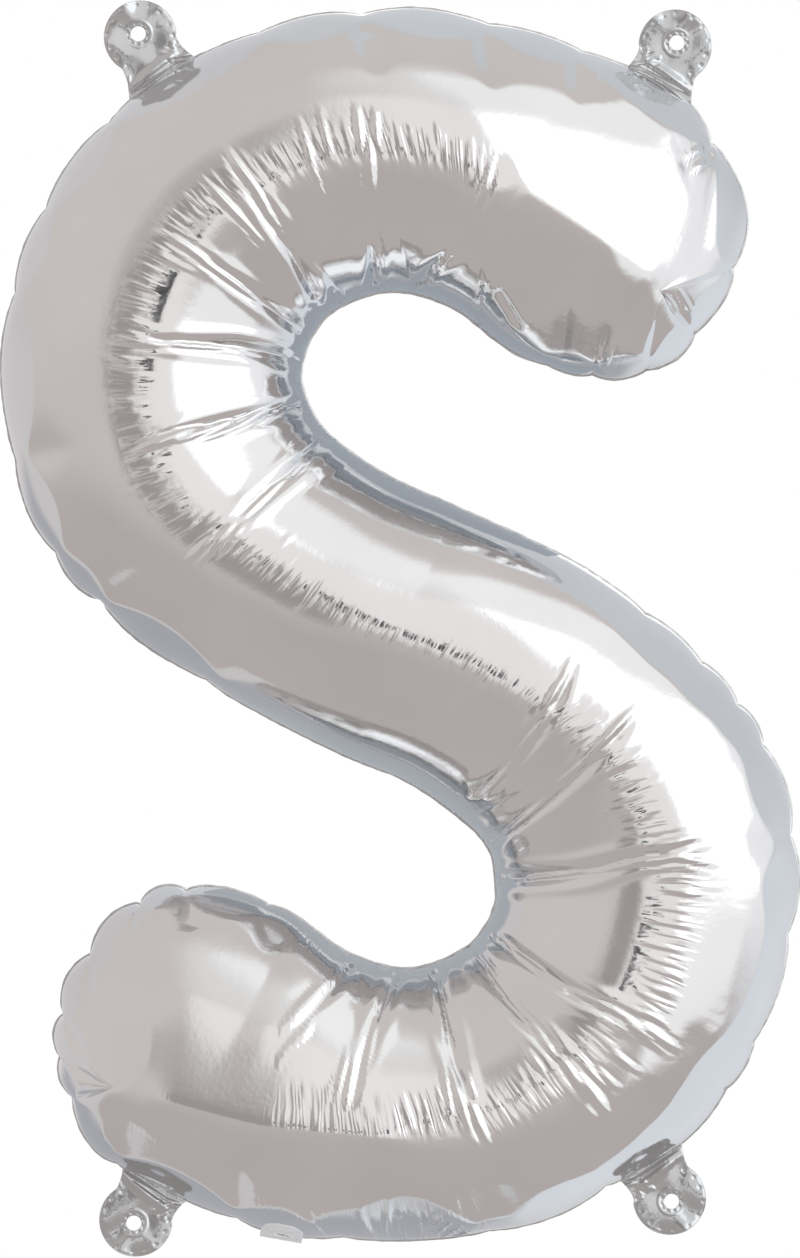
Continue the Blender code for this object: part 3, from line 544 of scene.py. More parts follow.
class Panel:
    """One foil panel as columns that run from the seam in to the letter's spine, all the way round."""

    def __init__(self, outline, side, stations, fan, rows, seed):
        self.outline = outline
        self.side = side
        self.stations = stations
        self.fan = fan
        self.rows = rows
        self.random = np.random.default_rng(seed)
        self.lay_columns()
        self.index_faces()
        self.shape_sections()
        self.vertices = self.flatten(self.base)
        self.normals = self.vertex_normals(self.vertices)
        self.relief = np.zeros(len(self.vertices))

    def lay_columns(self):
        """Place the columns: the first seam, the lower end, the second seam, the upper end."""
        count = self.outline.count

        def spine(stations):
            return 0.5 * (self.outline.at(stations + 1.0) + self.outline.at(count - 1.0 - stations))

        self.places = even(FIRST_STATION, LAST_STATION, self.stations, spine)
        first = self.places + 1.0
        second = count - 1.0 - self.places
        lower = even(first[-1], second[-1], self.fan + 2, self.outline.at)[1:-1]
        upper = even(second[0] - count, first[0], self.fan + 2, self.outline.at)[1:-1]
        self.parameters = np.concatenate((first, lower, second[::-1], upper))
        self.count = len(self.parameters)
        self.lengths = self.outline.length_at(self.parameters)
        self.first = np.arange(self.stations)
        self.second = self.stations + self.fan + np.arange(self.stations)[::-1]
        self.lower = self.stations + np.arange(self.fan)
        self.upper = 2 * self.stations + self.fan + np.arange(self.fan)

    def shape_sections(self):
        """Work out the smooth inflated form."""
        edge = self.outline.at(self.parameters) - self.outline.outward(self.parameters) * WELD_REACH
        a = edge[self.first]
        b = edge[self.second]
        self.middle = 0.5 * (a + b)
        self.along = lengths_along(self.middle)
        self.half = smooth(0.5 * np.linalg.norm(a - b, axis=1), self.stations // WIDTH_SMOOTHING)
        aside = smooth(np.interp(self.places, *zip(*CREST)), self.stations // PROFILE_SMOOTHING)
        self.middle = self.middle + aside[:, None] * 0.5 * (a - b)
        speed_a = np.linalg.norm(np.gradient(a, axis=0), axis=1)
        speed_b = np.linalg.norm(np.gradient(b, axis=0), axis=1)
        self.bend = smooth((speed_a - speed_b) / (speed_a + speed_b), self.stations // WIDTH_SMOOTHING)
        from_end = np.minimum(self.along, self.along[-1] - self.along)
        self.bend *= np.clip(from_end / BEND_FADE, 0.0, 1.0)
        self.depth = smooth(np.interp(self.places, *zip(*DEPTHS)), self.stations // PROFILE_SMOOTHING)
        angles = np.linspace(0.0, math.pi / 2, self.rows + 1)
        ways = np.cos(angles)
        shares = ways[None, :, None]
        base = np.zeros((self.count, self.rows + 1, 3))
        for ring, sign in ((self.first, 1.0), (self.second, -1.0)):
            flat = self.middle[:, None, :] * (1.0 - shares) + edge[ring][:, None, :] * shares
            height = self.section(sign * ways[None, :])
            base[ring] = np.stack((flat[:, :, 0], height, flat[:, :, 1]), axis=2)
        for ring, station, before in ((self.lower, -1, -2), (self.upper, 0, 1)):
            flat = self.middle[station] * (1.0 - shares) + edge[ring][:, None, :] * shares
            onward = self.middle[station] - self.middle[before]
            square = right_of(a[station] - b[station])
            steps = (flat - self.middle[station]) @ square / (onward @ square)
            fall = (self.depth[station] - self.depth[before]) * steps
            height = (self.depth[station] + fall * np.sin(angles) ** 0.5) * np.sin(angles)
            base[ring] = np.stack((flat[:, :, 0], height, flat[:, :, 1]), axis=2)
        shift = self.outline.scallop(self.parameters)
        outward = self.outline.outward(self.parameters)
        self.crease_lobes(base, shift, outward)
        base[:, :, 1] = self.side * (RIM_Y + base[:, :, 1])
        self.base = base
        self.reach = lengths_inward(base)
        base[:, :, (0, 2)] += (outward * shift[:, None])[:, None] * bell(self.reach, 0.0, SCALLOP_FADE)[:, :, None]

    def lens_widths(self, shift, outward):
        """Give how far in the crease behind each outer lobe lies, and how far that shape holds, from 0 to 1."""
        outline = self.outline
        edge = outline.at(self.parameters) + outward * shift[:, None]
        width = np.full(self.count, LENS_CUSP)
        hold = np.zeros(self.count)
        for inside, share, length, places, _ in outline.lobes(self.lengths):
            ends = np.interp(places, outline.lengths, outline.parameters)
            corners = outline.at(ends) - outline.outward(ends) * LENS_CUSP
            chord = corners[0] * (1.0 - share[:, None]) + corners[1] * share[:, None]
            bow = min(LENS_BOW * length, LENS_BOW_MAX) * np.sin(math.pi * share) ** 0.7
            width[inside] = ((edge[inside] - chord) * outward[inside]).sum(axis=1) + bow
            hold[inside] = 1.0
        for inside, left, _ in outline.run_ends(self.lengths):
            hold[inside] = left
        if self.side < 0:
            self.follow_lines(edge, width)
        kernel = max(1, self.stations // LENS_SMOOTHING)
        return smooth(np.maximum(width, LENS_LEAST), kernel), smooth(hold, kernel)

    def follow_lines(self, edge, width):
        """Put the crease on the lines that are given for it."""
        least, most = LENS_LINE_SPAN
        for line in LENS_LINES:
            points = resample(flat_line(line), 300)
            for column in range(self.count):
                inward = self.inward[column]
                offset = points - edge[column]
                beside = np.abs(offset[:, 0] * inward[1] - offset[:, 1] * inward[0])
                ahead = offset @ inward
                beside[(ahead < least) | (ahead > most)] = FAR
                nearest = np.argmin(beside)
                if beside[nearest] < LENS_LINE_GAP:
                    width[column] = ahead[nearest]

    def crease_lobes(self, base, shift, outward):
        """Turn the film outwards beyond the crease behind each lobe, and ease it inside the crease."""
        plan = base[:, :, (0, 2)]
        distance = lengths_inward(plan)
        across = plan[:, -1] - plan[:, 0]
        self.inward = across / np.linalg.norm(across, axis=1)[:, None]
        width, hold = self.lens_widths(shift, outward)
        width = np.minimum(width, 0.6 * distance[:, -1])
        for column in np.flatnonzero(hold > 0.0):
            far = distance[column]
            height = base[column, :, 1]
            reach = width[column]
            top, beyond = np.interp((reach, reach + 0.5), far, height)
            slope = min(LENS_INNER_SLOPE, 1.8 * (beyond - top))
            power = max(0.5, LENS_OUTER_SLOPE * reach / top)
            outer = top * (np.minimum(far, reach) / reach) ** power
            line = top + slope * (far - reach)
            soft = LENS_SOFT + LENS_SOFT_GAIN * np.clip((far - reach) / LENS_SOFT_REACH, 0.0, 1.0)
            inner = 0.5 * (height + line - np.sqrt((height - line) ** 2 + soft ** 2))
            inner += 0.5 * soft * np.clip(1.0 - (far - reach) / LENS_FILL_REACH, 0.0, 1.0) ** 2
            creased = np.where(far < reach, outer, inner)
            base[column, :, 1] = height + (creased - height) * hold[column]

    def section(self, way):
        """Give the height of the section at ways across it, from -1 to 1, as the folds facet it."""
        moved = np.clip(way + self.facets(way) / self.half[:, None], -1.0, 1.0)
        bent = np.clip(self.bend / FULL_BEND, -1.0, 1.0)[:, None] * np.sign(moved)
        power = 2.0 + np.where(bent > 0.0, OUTER_FULLNESS, INNER_SLACK) * bent
        return self.depth[:, None] * np.maximum(1.0 - np.abs(moved) ** power, 0.0) ** (1.0 / power)

    def facets(self, way):
        """Give how far the folds move the section towards the inner seam, positive to the first seam."""
        across = way * self.half[:, None]
        along = self.along[:, None] + 0.0 * across
        total = np.zeros(across.shape)
        for folds, outer in ((UPPER_FOLDS, 1.0), (LOWER_FOLDS, -1.0)):
            lines = sorted((self.fold_line(points) for points, _, _ in folds), key=lambda line: line[0])
            inner = np.clip(-outer * way + 0.15, 0.0, 1.0)
            fade = inner * (1.0 - np.abs(way) ** 6) * np.minimum(1.0, inner / 0.5)
            places = [start + slope * across for start, slope in lines]
            ends = (places[0] - along, places[1] - places[0]), (along - places[-1], places[-1] - places[-2])
            for past, length in ends:
                ease = np.where(past > 0.0, np.exp(-np.maximum(past, 0.0) / FACET_END_FADE), 0.0)
                total -= outer * FACET_END_SHARE * facet_shift(length) * ease * fade
            for low, high in zip(places, places[1:]):
                inside = (along >= low) & (along < high)
                share = np.where(inside, (along - low) / np.maximum(high - low, 1.0), 0.5)
                wave = FACET_BALANCE - (2.0 * share - 1.0) ** 2
                total += np.where(inside, outer * facet_shift(high - low) * wave, 0.0) * fade
        return total

    def fold_line(self, points):
        """Give a fold's place along the spine, and its slant for each millimetre to the right, at the first seam."""
        alongs = []
        acrosses = []
        for point in resample(flat_line(points), 12):
            nearest = np.argmin(np.linalg.norm(self.middle - point, axis=1))
            direction = self.middle[min(nearest + 3, self.stations - 1)] - self.middle[max(nearest - 3, 0)]
            direction /= np.linalg.norm(direction)
            alongs.append(self.along[nearest])
            acrosses.append((point - self.middle[nearest]) @ right_of(direction))
        slope, start = np.polyfit(acrosses, alongs, 1)
        return start, float(np.clip(slope, -MAX_SLANT, MAX_SLANT))

    def index_faces(self):
        """Number the vertices, with the spine's shared between the columns that meet there."""
        numbers = np.arange(self.count * self.rows).reshape(self.count, self.rows)
        spine = np.zeros(self.count, dtype=int)
        first_spine = self.count * self.rows
        spine[self.first] = first_spine + np.arange(self.stations)
        spine[self.second] = first_spine + np.arange(self.stations)
        spine[self.upper] = first_spine
        spine[self.lower] = first_spine + self.stations - 1
        self.numbers = here = np.column_stack((numbers, spine))
        following = np.roll(here, -1, axis=0)
        quads = np.stack((here[:, :-1], here[:, 1:], following[:, 1:], following[:, :-1]), axis=2).reshape(-1, 4)
        self.quads = quads[:, ::-1] if self.side < 0 else quads

    def flatten(self, grid):
        """Turn values at columns and rows into values at vertices."""
        flat = np.zeros((self.count * self.rows + self.stations,) + grid.shape[2:])
        flat[self.numbers[:, :-1]] = grid[:, :-1]
        flat[self.numbers[self.first, -1]] = grid[self.first, -1]
        return flat

    def vertex_normals(self, vertices):
        """Give unit normals that point out of the balloon."""
        corners = vertices[self.quads]
        faces = np.cross(corners[:, 2] - corners[:, 0], corners[:, 3] - corners[:, 1])
        normals = np.zeros_like(vertices)
        for corner in range(4):
            for axis in range(3):
                normals[:, axis] += np.bincount(self.quads[:, corner], faces[:, axis], len(vertices))
        normals /= np.linalg.norm(normals, axis=1)[:, None] + 1e-12
        return -normals if normals[:, 1].mean() * self.side < 0 else normals

    def lift(self, flat):
        """Raise a flat point on to the smooth panel."""
        offsets = (self.vertices[:, 0] - flat[0]) ** 2 + (self.vertices[:, 2] - flat[1]) ** 2
        return np.array((flat[0], self.vertices[np.argmin(offsets), 1], flat[1]))

    def spine_place(self, place):
        """Give the distance along the spine nearest a place in the photograph's pixels."""
        return self.along[np.argmin(np.linalg.norm(self.middle - millimetres(place), axis=1))]

    def inward_line(self, columns, reaches):
        """Give the points of columns that are nearest to distances over the film from the seam."""
        rows = np.interp(reaches, self.reach[columns[0]], np.arange(self.rows + 1))
        return np.array([self.base[column % self.count, int(round(row))] for column, row in zip(columns, rows)])

    def on_panel(self, along, across):
        """Give the point at a distance along the spine, and a distance over the film towards the first seam."""
        station = int(np.argmin(np.abs(self.along - along)))
        ring = self.first[station] if across >= 0 else self.second[station]
        from_spine = self.reach[ring, -1] - self.reach[ring]
        row = np.interp(abs(across), from_spine[::-1], np.arange(self.rows, -1, -1))
        low = int(min(math.floor(row), self.rows - 1))
        return self.base[ring, low] + (self.base[ring, low + 1] - self.base[ring, low]) * (row - low)


def measure(panel, line, reach):
    """Give the vertices near a line in space, their distance from it and their share along it."""
    low = line.min(axis=0) - reach
    high = line.max(axis=0) + reach
    near = np.flatnonzero(np.all((panel.vertices > low) & (panel.vertices < high), axis=1))
    points = panel.vertices[near]
    steps = np.linalg.norm(np.diff(line, axis=0), axis=1)
    lengths = lengths_along(line)
    distance = np.full(len(near), FAR)
    share = np.zeros(len(near))
    for start, end, before, step in zip(line, line[1:], lengths, steps):
        way = np.clip((points - start) @ (end - start) / step ** 2, 0.0, 1.0)
        gap = np.linalg.norm(points - start - way[:, None] * (end - start), axis=1)
        closer = gap < distance
        distance[closer] = gap[closer]
        share[closer] = (before + way[closer] * step) / lengths[-1]
    kept = distance < reach
    return near[kept], distance[kept], share[kept]


def press_fold(panel, line, depth, half_width):
    """Press a deep fold into the relief, deepest in its inner half, with raised shoulders."""
    near, distance, share = measure(panel, line, 3.2 * half_width)
    strength = np.clip(share / 0.06, 0.3, 1.0) * np.clip((1.0 - share) / 0.5, 0.0, 1.0) ** 0.8
    across = distance / (half_width * (0.55 + 0.45 * strength))
    valley = np.maximum(1.0 - across, 0.0) ** 1.6
    panel.relief[near] += depth * strength * (0.30 * bell(across, 1.3, 0.6) - valley)


def raise_pleat(panel, line, half_width, height):
    """Raise one narrow leaf-shaped pleat, with a crisp back and a fine valley on each side."""
    near, distance, share = measure(panel, line, 2.4 * half_width)
    leaf = np.sin(math.pi * np.clip(share, 0.0, 1.0)) ** 0.75
    across = distance / (half_width * (0.25 + 0.75 * leaf))
    back = np.maximum(1.0 - np.sqrt(across ** 2 + 0.02), 0.0)
    raised = height * leaf * (back - 0.22 * bell(across, 1.25, 0.35))
    relief = panel.relief[near]
    panel.relief[near] = np.where(back > 0.0, np.maximum(relief, relief * 0.3 + raised), relief + raised)


def soft_crease(panel, line, height, reach):
    """Meet two smooth areas of film in a crease, a ridge if its height is positive."""
    near, distance, share = measure(panel, line, 3.5 * reach)
    strength = np.clip(np.minimum(share, 1.0 - share) / 0.15, 0.0, 1.0)
    strength = strength * strength * (3.0 - 2.0 * strength)
    crest = np.exp(-np.sqrt((distance / reach) ** 2 + 0.004))
    panel.relief[near] += height * strength * np.maximum(crest - math.exp(-3.5), 0.0)


def lifted(panel, points, count):
    """Lay a line given in the photograph's pixels on the panel."""
    return np.array([panel.lift(point) for point in resample(flat_line(points), count)])


def jitter(panel, points, amount):
    """Move the places of a line a little at random, as the other panel's folds differ from the first's."""
    if amount <= 0.0:
        return points
    shift = panel.random.normal(0.0, amount, 2)
    return [tuple(np.array(point) + shift + panel.random.normal(0.0, amount * 0.3, 2)) for point in points]


def lay_details(panel, amount):
    """Give the panel its folds, pleats, creases, wrinkle bands and puckers."""
    for points, height, reach in CREASES:
        soft_crease(panel, lifted(panel, jitter(panel, points, amount), 14), height, reach)
    for points, depth, half_width in UPPER_FOLDS + LOWER_FOLDS:
        press_fold(panel, lifted(panel, jitter(panel, points, amount * 0.5), 16), depth, half_width)
    wrinkle_bands(panel)
    seam_puckers(panel)
    for start, end, half_width, height in PLEATS:
        start, end = jitter(panel, (start, end), amount)
        raise_pleat(panel, lifted(panel, (start, end), 4), half_width, height)
    for x, z, depth in UPPER_CUSPS + LOWER_CUSPS:
        cusp_crease(panel, x, z, depth)


def wrinkle_bands(panel):
    """Scatter short wrinkles across the spine, in bands."""
    random = panel.random
    for start, end, inner, outer, spacing, length, height in BANDS:
        place = panel.spine_place(start)
        high = panel.spine_place(end)
        while place < high:
            station = int(np.argmin(np.abs(panel.along - place)))
            sign = 1.0 if panel.bend[station] >= 0 else -1.0
            middle = 0.5 * (inner + outer) + random.normal(0.0, 0.12) * (outer - inner)
            reach = length * random.uniform(0.75, 1.2) / 2
            lean = random.normal(0.0, 0.035) * length
            places = (place - lean, middle - reach), (place, middle), (place + lean, middle + reach)
            line = np.array([panel.on_panel(along, sign * across) for along, across in places])
            size = random.uniform(0.45, 1.15)
            raise_pleat(panel, line, spacing * random.uniform(0.40, 0.58), height * size)
            place += spacing * random.uniform(0.7, 1.15)


def seam_puckers(panel):
    """Scatter short puckers that run out from the inner seams."""
    random = panel.random
    outline = panel.outline
    for start, end, spacing, length, height in PUCKERS:
        low = outline.nearest_length(*millimetres(start))
        high = outline.nearest_length(*millimetres(end))
        if abs(high - low) > outline.total / 2:
            low, high = (low + outline.total, high) if low < high else (low, high + outline.total)
        step = 1.0 if high > low else -1.0
        place = low
        while (high - place) * step > 0:
            column = int(np.argmin(np.abs(panel.lengths - place % outline.total)))
            first = random.uniform(0.5, 3.0)
            last = first + length * random.uniform(0.6, 1.5)
            lean = random.integers(-2, 3)
            columns = (column, column + lean // 2, column + lean)
            line = panel.inward_line(columns, (first, (first + last) / 2, last))
            raise_pleat(panel, line, random.uniform(0.6, 1.2), height * random.uniform(0.4, 1.3))
            place += step * spacing * random.uniform(0.5, 1.5)


def cusp_crease(panel, x, z, depth):
    """Run a crease in from a cusp of the outer seam, longer and deeper at a deep cusp."""
    column = int(np.argmin(np.abs(panel.lengths - panel.outline.nearest_length(x, z))))
    length = 4.0 + 2.6 * depth + panel.random.uniform(0.0, 3.0)
    line = panel.inward_line((column,) * 3, (0.0, length / 2, length))
    near, distance, share = measure(panel, line, 4.0)
    valley = np.maximum(1.0 - distance / 1.1, 0.0) ** 1.5
    panel.relief[near] -= (0.15 + 0.16 * depth) * (1.0 - share) ** 0.8 * valley


def crinkle_strength(panel, along, across):
    """Give how finely crinkled the film is, from 0 to 1, at places along the spine and across it."""
    strength = np.zeros(along.shape)
    turn = np.interp(along, panel.along, panel.bend)
    sign = np.where(turn >= 0.0, 1.0, -1.0)
    for start, end, inner, outer, _, length, height in BANDS:
        low = panel.spine_place(start)
        high = panel.spine_place(end)
        middle = 0.5 * (inner + outer) * sign
        inside = np.clip((along - low) / 8.0 + 0.5, 0.0, 1.0) * np.clip((high - along) / 8.0 + 0.5, 0.0, 1.0)
        turned = sign if inner >= 0.0 else np.sign(turn)
        place = (across - middle) * turned / (0.55 * length)
        beside = np.clip((1.0 - place) / 0.3, 0.0, 1.0) * np.clip((place + 1.0) / 1.3, 0.0, 1.0)
        strength = np.maximum(strength, min(1.0, math.sqrt(height / FULL_CRINKLE)) * inside * beside)
    for point, reach, amount in CRINKLED_PATCHES:
        gap = np.linalg.norm(panel.base[:, :, (0, 2)] - millimetres(point), axis=2)
        strength = np.maximum(strength, amount * np.exp(-(gap / reach) ** 4))
    seam = bell(panel.reach, 0.0, SEAM_CRINKLE_REACH)
    inner_seam = np.clip(-turn * np.sign(across) / FULL_BEND, 0.0, 1.0) * (along > 0.0) * (along < panel.along[-1])
    return np.maximum(strength, SEAM_CRINKLE * seam * inner_seam)


def film_places(panel):
    """Give each column and row its place along the spine and its distance over the film across it."""
    along = np.zeros(panel.reach.shape)
    across = panel.reach[:, -1:] - panel.reach
    along[panel.first] = panel.along[:, None]
    along[panel.second] = panel.along[:, None]
    across[panel.second] *= -1.0
    for ring, station, before in ((panel.lower, -1, -2), (panel.upper, 0, 1)):
        onward = panel.middle[station] - panel.middle[before]
        onward /= np.linalg.norm(onward)
        offset = panel.base[ring][:, :, (0, 2)] - panel.middle[station]
        along[ring] = panel.along[station] + (1.0 if station else -1.0) * (offset @ onward)
        across[ring] = offset @ right_of(onward)
    return along, across


def finish_panel(panel, name, material):
    """Make the panel's object, with its relief added along its normals."""
    along, across = film_places(panel)
    strength = crinkle_strength(panel, along, across)
    fade = np.minimum(1.0, panel.flatten(panel.reach) / RELIEF_REACH)
    vertices = panel.vertices + panel.normals * (panel.relief * fade)[:, None]
    vertices[:, 1] = panel.side * np.maximum(panel.side * vertices[:, 1], RIM_Y)
    skin = make_object(name, vertices, panel.quads, material)
    add_places(skin, "film", panel.flatten(np.stack((along, across), axis=2)) * MM)
    add_places(skin, "crinkle", panel.flatten(np.stack((strength, 0.0 * strength), axis=2)))
    return skin


def add_places(thing, name, places):
    """Give a mesh a map of flat places, one for each vertex."""
    layer = thing.data.uv_layers.new(name=name)
    corners = np.zeros(len(thing.data.loops), dtype=np.int32)
    thing.data.loops.foreach_get("vertex_index", corners)
    layer.data.foreach_set("uv", places[corners].astype(np.float32).ravel())


def make_object(name, vertices, faces, material):
    """Make a smooth mesh object from vertices in millimetres and faces, which lose their repeated corners."""
    mesh = bpy.data.meshes.new(name)
    cleaned = [tuple(dict.fromkeys(face)) for face in np.asarray(faces).tolist()]
    mesh.from_pydata((vertices * MM).tolist(), [], cleaned)
    mesh.validate()
    mesh.shade_smooth()
    mesh.materials.append(material)
    thing = bpy.data.objects.new(name, mesh)
    bpy.context.scene.collection.objects.link(thing)
    return thing


def plate(points, way, thickness):
    """Give the vertices and faces of a plate: rings of points round a hole, thickened along a direction."""
    rings, count = points.shape[:2]
    offset = np.array(way) * thickness / 2
    flat = points.reshape(-1, 3)
    vertices = np.concatenate((flat + offset, flat - offset))
    under = len(flat)
    ring, place = np.meshgrid(np.arange(rings - 1), np.arange(count), indexing="ij")
    a = (ring * count + place).ravel()
    b = (ring * count + (place + 1) % count).ravel()
    c = b + count
    d = a + count
    faces = [np.column_stack((a, b, c, d)), np.column_stack((d, c, b, a)) + under]
    inner = np.arange(count)
    after = (inner + 1) % count
    outer = inner + (rings - 1) * count
    outer_after = after + (rings - 1) * count
    faces.append(np.column_stack((after, inner, inner + under, after + under)))
    faces.append(np.column_stack((outer, outer_after, outer_after + under, outer + under)))
    return vertices, np.concatenate(faces)


def ring_grid(outline, hole, hole_radius, rings):
    """Give rings of flat points that grow from a round hole to an outline."""
    angles = np.arctan2(outline[:, 1] - hole[1], outline[:, 0] - hole[0])
    inner = np.array(hole) + hole_radius * np.column_stack((np.cos(angles), np.sin(angles)))
    shares = np.linspace(0.0, 1.0, rings)[:, None, None]
    return inner[None] * (1.0 - shares) + outline[None] * shares


def ridge(u, v, start, end, half_width, height):
    """Give the height of a soft ridge along a line on a flat piece."""
    start = np.array(start)
    along = np.array(end) - start
    length = np.hypot(*along)
    way = ((u - start[0]) * along[0] + (v - start[1]) * along[1]) / length ** 2
    clipped = np.clip(way, 0.0, 1.0)
    gap = np.hypot(u - start[0] - clipped * along[0], v - start[1] - clipped * along[1])
    taper = np.sin(math.pi * np.clip(way * 0.9 + 0.05, 0.0, 1.0)) ** 0.6
    return height * taper * bell(gap, 0.0, half_width)


def tab_outline(reach, count):
    """Give a tab's outline, evenly spaced: u along its crease with the crumpled side positive, v outwards."""
    below, plain, crumpled = zip(*TAB_FLANKS)
    depths = np.concatenate(([5.0], np.linspace(6.0, reach + TAB_TUCK, 12)))
    plain = np.interp(depths, below, plain)
    crumpled = np.interp(depths, below, crumpled)
    angles = np.radians(np.linspace(-24.0, 204.0, 60))
    disc = np.column_stack((TAB_RADIUS * np.cos(angles), reach + TAB_RADIUS * np.sin(angles)))
    right = np.column_stack((crumpled, reach - depths))[::-1]
    left = np.column_stack((-plain, reach - depths))
    foot = np.column_stack((np.linspace(left[-1, 0], right[0, 0], 24), np.full(24, -TAB_TUCK)))[1:-1]
    loop = np.concatenate((right, disc, left, foot, right[:1]))
    for _ in range(2):
        loop = resample(loop, count + 1)
    return loop[:-1]


def tab_relief(u, v, reach, random):
    """Give a tab's height: its embossed ring, dented rim, radial swell and the crumpled folds at its root."""
    hole_v = reach + HOLE_OFFSET
    from_hole = np.hypot(u, v - hole_v)
    turn = np.arctan2(u, v - hole_v)
    from_disc = np.hypot(u, v - reach)
    height = np.zeros_like(u)
    # Slow waves, and the swell that fans out from the hole
    for _ in range(7):
        angle = random.uniform(0.0, math.pi)
        wave = random.uniform(7.0, 16.0)
        way = u * math.cos(angle) + v * math.sin(angle)
        height += 0.05 * np.sin(way * 2 * math.pi / wave + random.uniform(0, 6.3))
    swell = np.clip((from_hole - 3.5) / 6.0, 0.0, 1.2)
    for size, centre, width in ((0.75, 0.12, 0.30), (0.35, 1.25, 0.22), (-0.2, -0.55, 0.3)):
        height += size * swell * bell(turn, centre, width)
    # The ring, which is stronger on one side, and nine marks inside it
    arcs = np.clip(0.55 + 0.6 * np.cos(turn - 1.9), 0.1, 1.0)
    height += 0.28 * arcs * bell(from_hole, RING_RADIUS, 0.32)
    height += 0.10 * np.cos(turn * 9.0) * bell(from_hole, 2.75, 0.30)
    # Dents along the rim, and the rim itself
    for spot in range(11):
        angle = -2.1 + 0.42 * spot + random.normal(0.0, 0.05)
        place = (TAB_RADIUS - random.uniform(0.8, 1.5)) * np.array((math.sin(angle), math.cos(angle)))
        gap = np.hypot(u - place[0], v - reach - place[1])
        height -= random.uniform(0.12, 0.26) * bell(gap, 0.0, random.uniform(0.4, 0.6))
    height -= 0.12 * bell(from_disc, TAB_RADIUS - 0.25, 0.35) * (v > reach - 4.0)
    # Folds across the root, crumples beside them and short creases along it
    for start, end, half_width, size in TAB_FOLDS:
        height += ridge(u, v, start, end, half_width, size)
    for _ in range(16):
        start = np.array((random.uniform(1.5, 7.5), random.uniform(3.8, 6.8)))
        angle = random.normal(-0.45, 0.5)
        end = start + random.uniform(1.0, 2.6) * np.array((math.cos(angle), math.sin(angle)))
        height += ridge(u, v, start, end, random.uniform(0.25, 0.5), random.uniform(-0.22, 0.30))
    for _ in range(14):
        start = np.array((random.uniform(-10.0, 4.0), random.uniform(0.6, 3.6)))
        end = start + np.array((random.uniform(0.3, 1.2), random.uniform(0.6, 1.6)))
        height += ridge(u, v, start, end, random.uniform(0.2, 0.4), random.uniform(-0.25, 0.25))
    return height * np.clip((v + 0.4) / 1.2, 0.0, 1.0)


def hinge(body):
    """Give the middle of the crease that a body turns on, in mm, and the crease's direction."""
    joint = next(joint for joint in frame["record"]["behaviour"]["joints"] if joint["child"] == body)
    return np.array(joint["pos_m"]) / MM, np.array(joint["axis"])


def build_tabs():
    """Make the four hanging tabs, each with crumpled folds at its root."""
    film = film_material("tab_film")
    count, rings = ((220, 34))
    for body, (node, disc, crumpled) in TABS.items():
        root, along = (values[[0, 2]] for values in hinge(body))
        outward = -right_of(along)
        reach = float((np.array(disc) - root) @ outward)
        random = np.random.default_rng(TAB_SEED)
        grid = ring_grid(tab_outline(reach, count), (0.0, reach + HOLE_OFFSET), HOLE_RADIUS, rings)
        u, v = grid[:, :, 0], grid[:, :, 1]
        height = tab_relief(u, v, reach, random)
        x, z = (root[axis] + crumpled * u * along[axis] + v * outward[axis] for axis in (0, 1))
        vertices, faces = plate(np.stack((x, -height, z), axis=2), (0.0, -1.0, 0.0), TAB_THICKNESS)
        if crumpled < 0:
            faces = faces[:, ::-1]
        tab = make_object(body + "_film", vertices, faces, film)
        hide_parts(node)
        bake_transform(tab)


def build_strip():
    """Make the welded seam: a thin rippled strip round the letter's edge."""
    outline = Outline()
    count = 2200
    random = np.random.default_rng(STRIP_SEED)
    parameters = even(0.0, float(outline.count), count + 1, outline.at)[:-1]
    edge = outline.at(parameters)
    outward = outline.outward(parameters)
    shift = outline.scallop(parameters)
    wander = smooth(random.normal(0.0, 1.0, count), 2) * STRIP_WANDER
    ripple = smooth(random.normal(0.0, 1.0, count), 3) * STRIP_RIPPLE
    points = np.zeros((len(STRIP_ROWS), count, 3))
    for row, (reach, loose) in enumerate(STRIP_ROWS):
        points[row][:, (0, 2)] = edge + outward * (shift + reach + loose * wander)[:, None]
        points[row, :, 1] = loose * ripple
    film = film_material("welded_film")
    vertices, faces = plate(points, (0.0, -1.0, 0.0), STRIP_THICKNESS)
    strip = make_object("seam_strip", vertices, faces, film)
    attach(strip, "envelope")
    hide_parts("seam_flange")


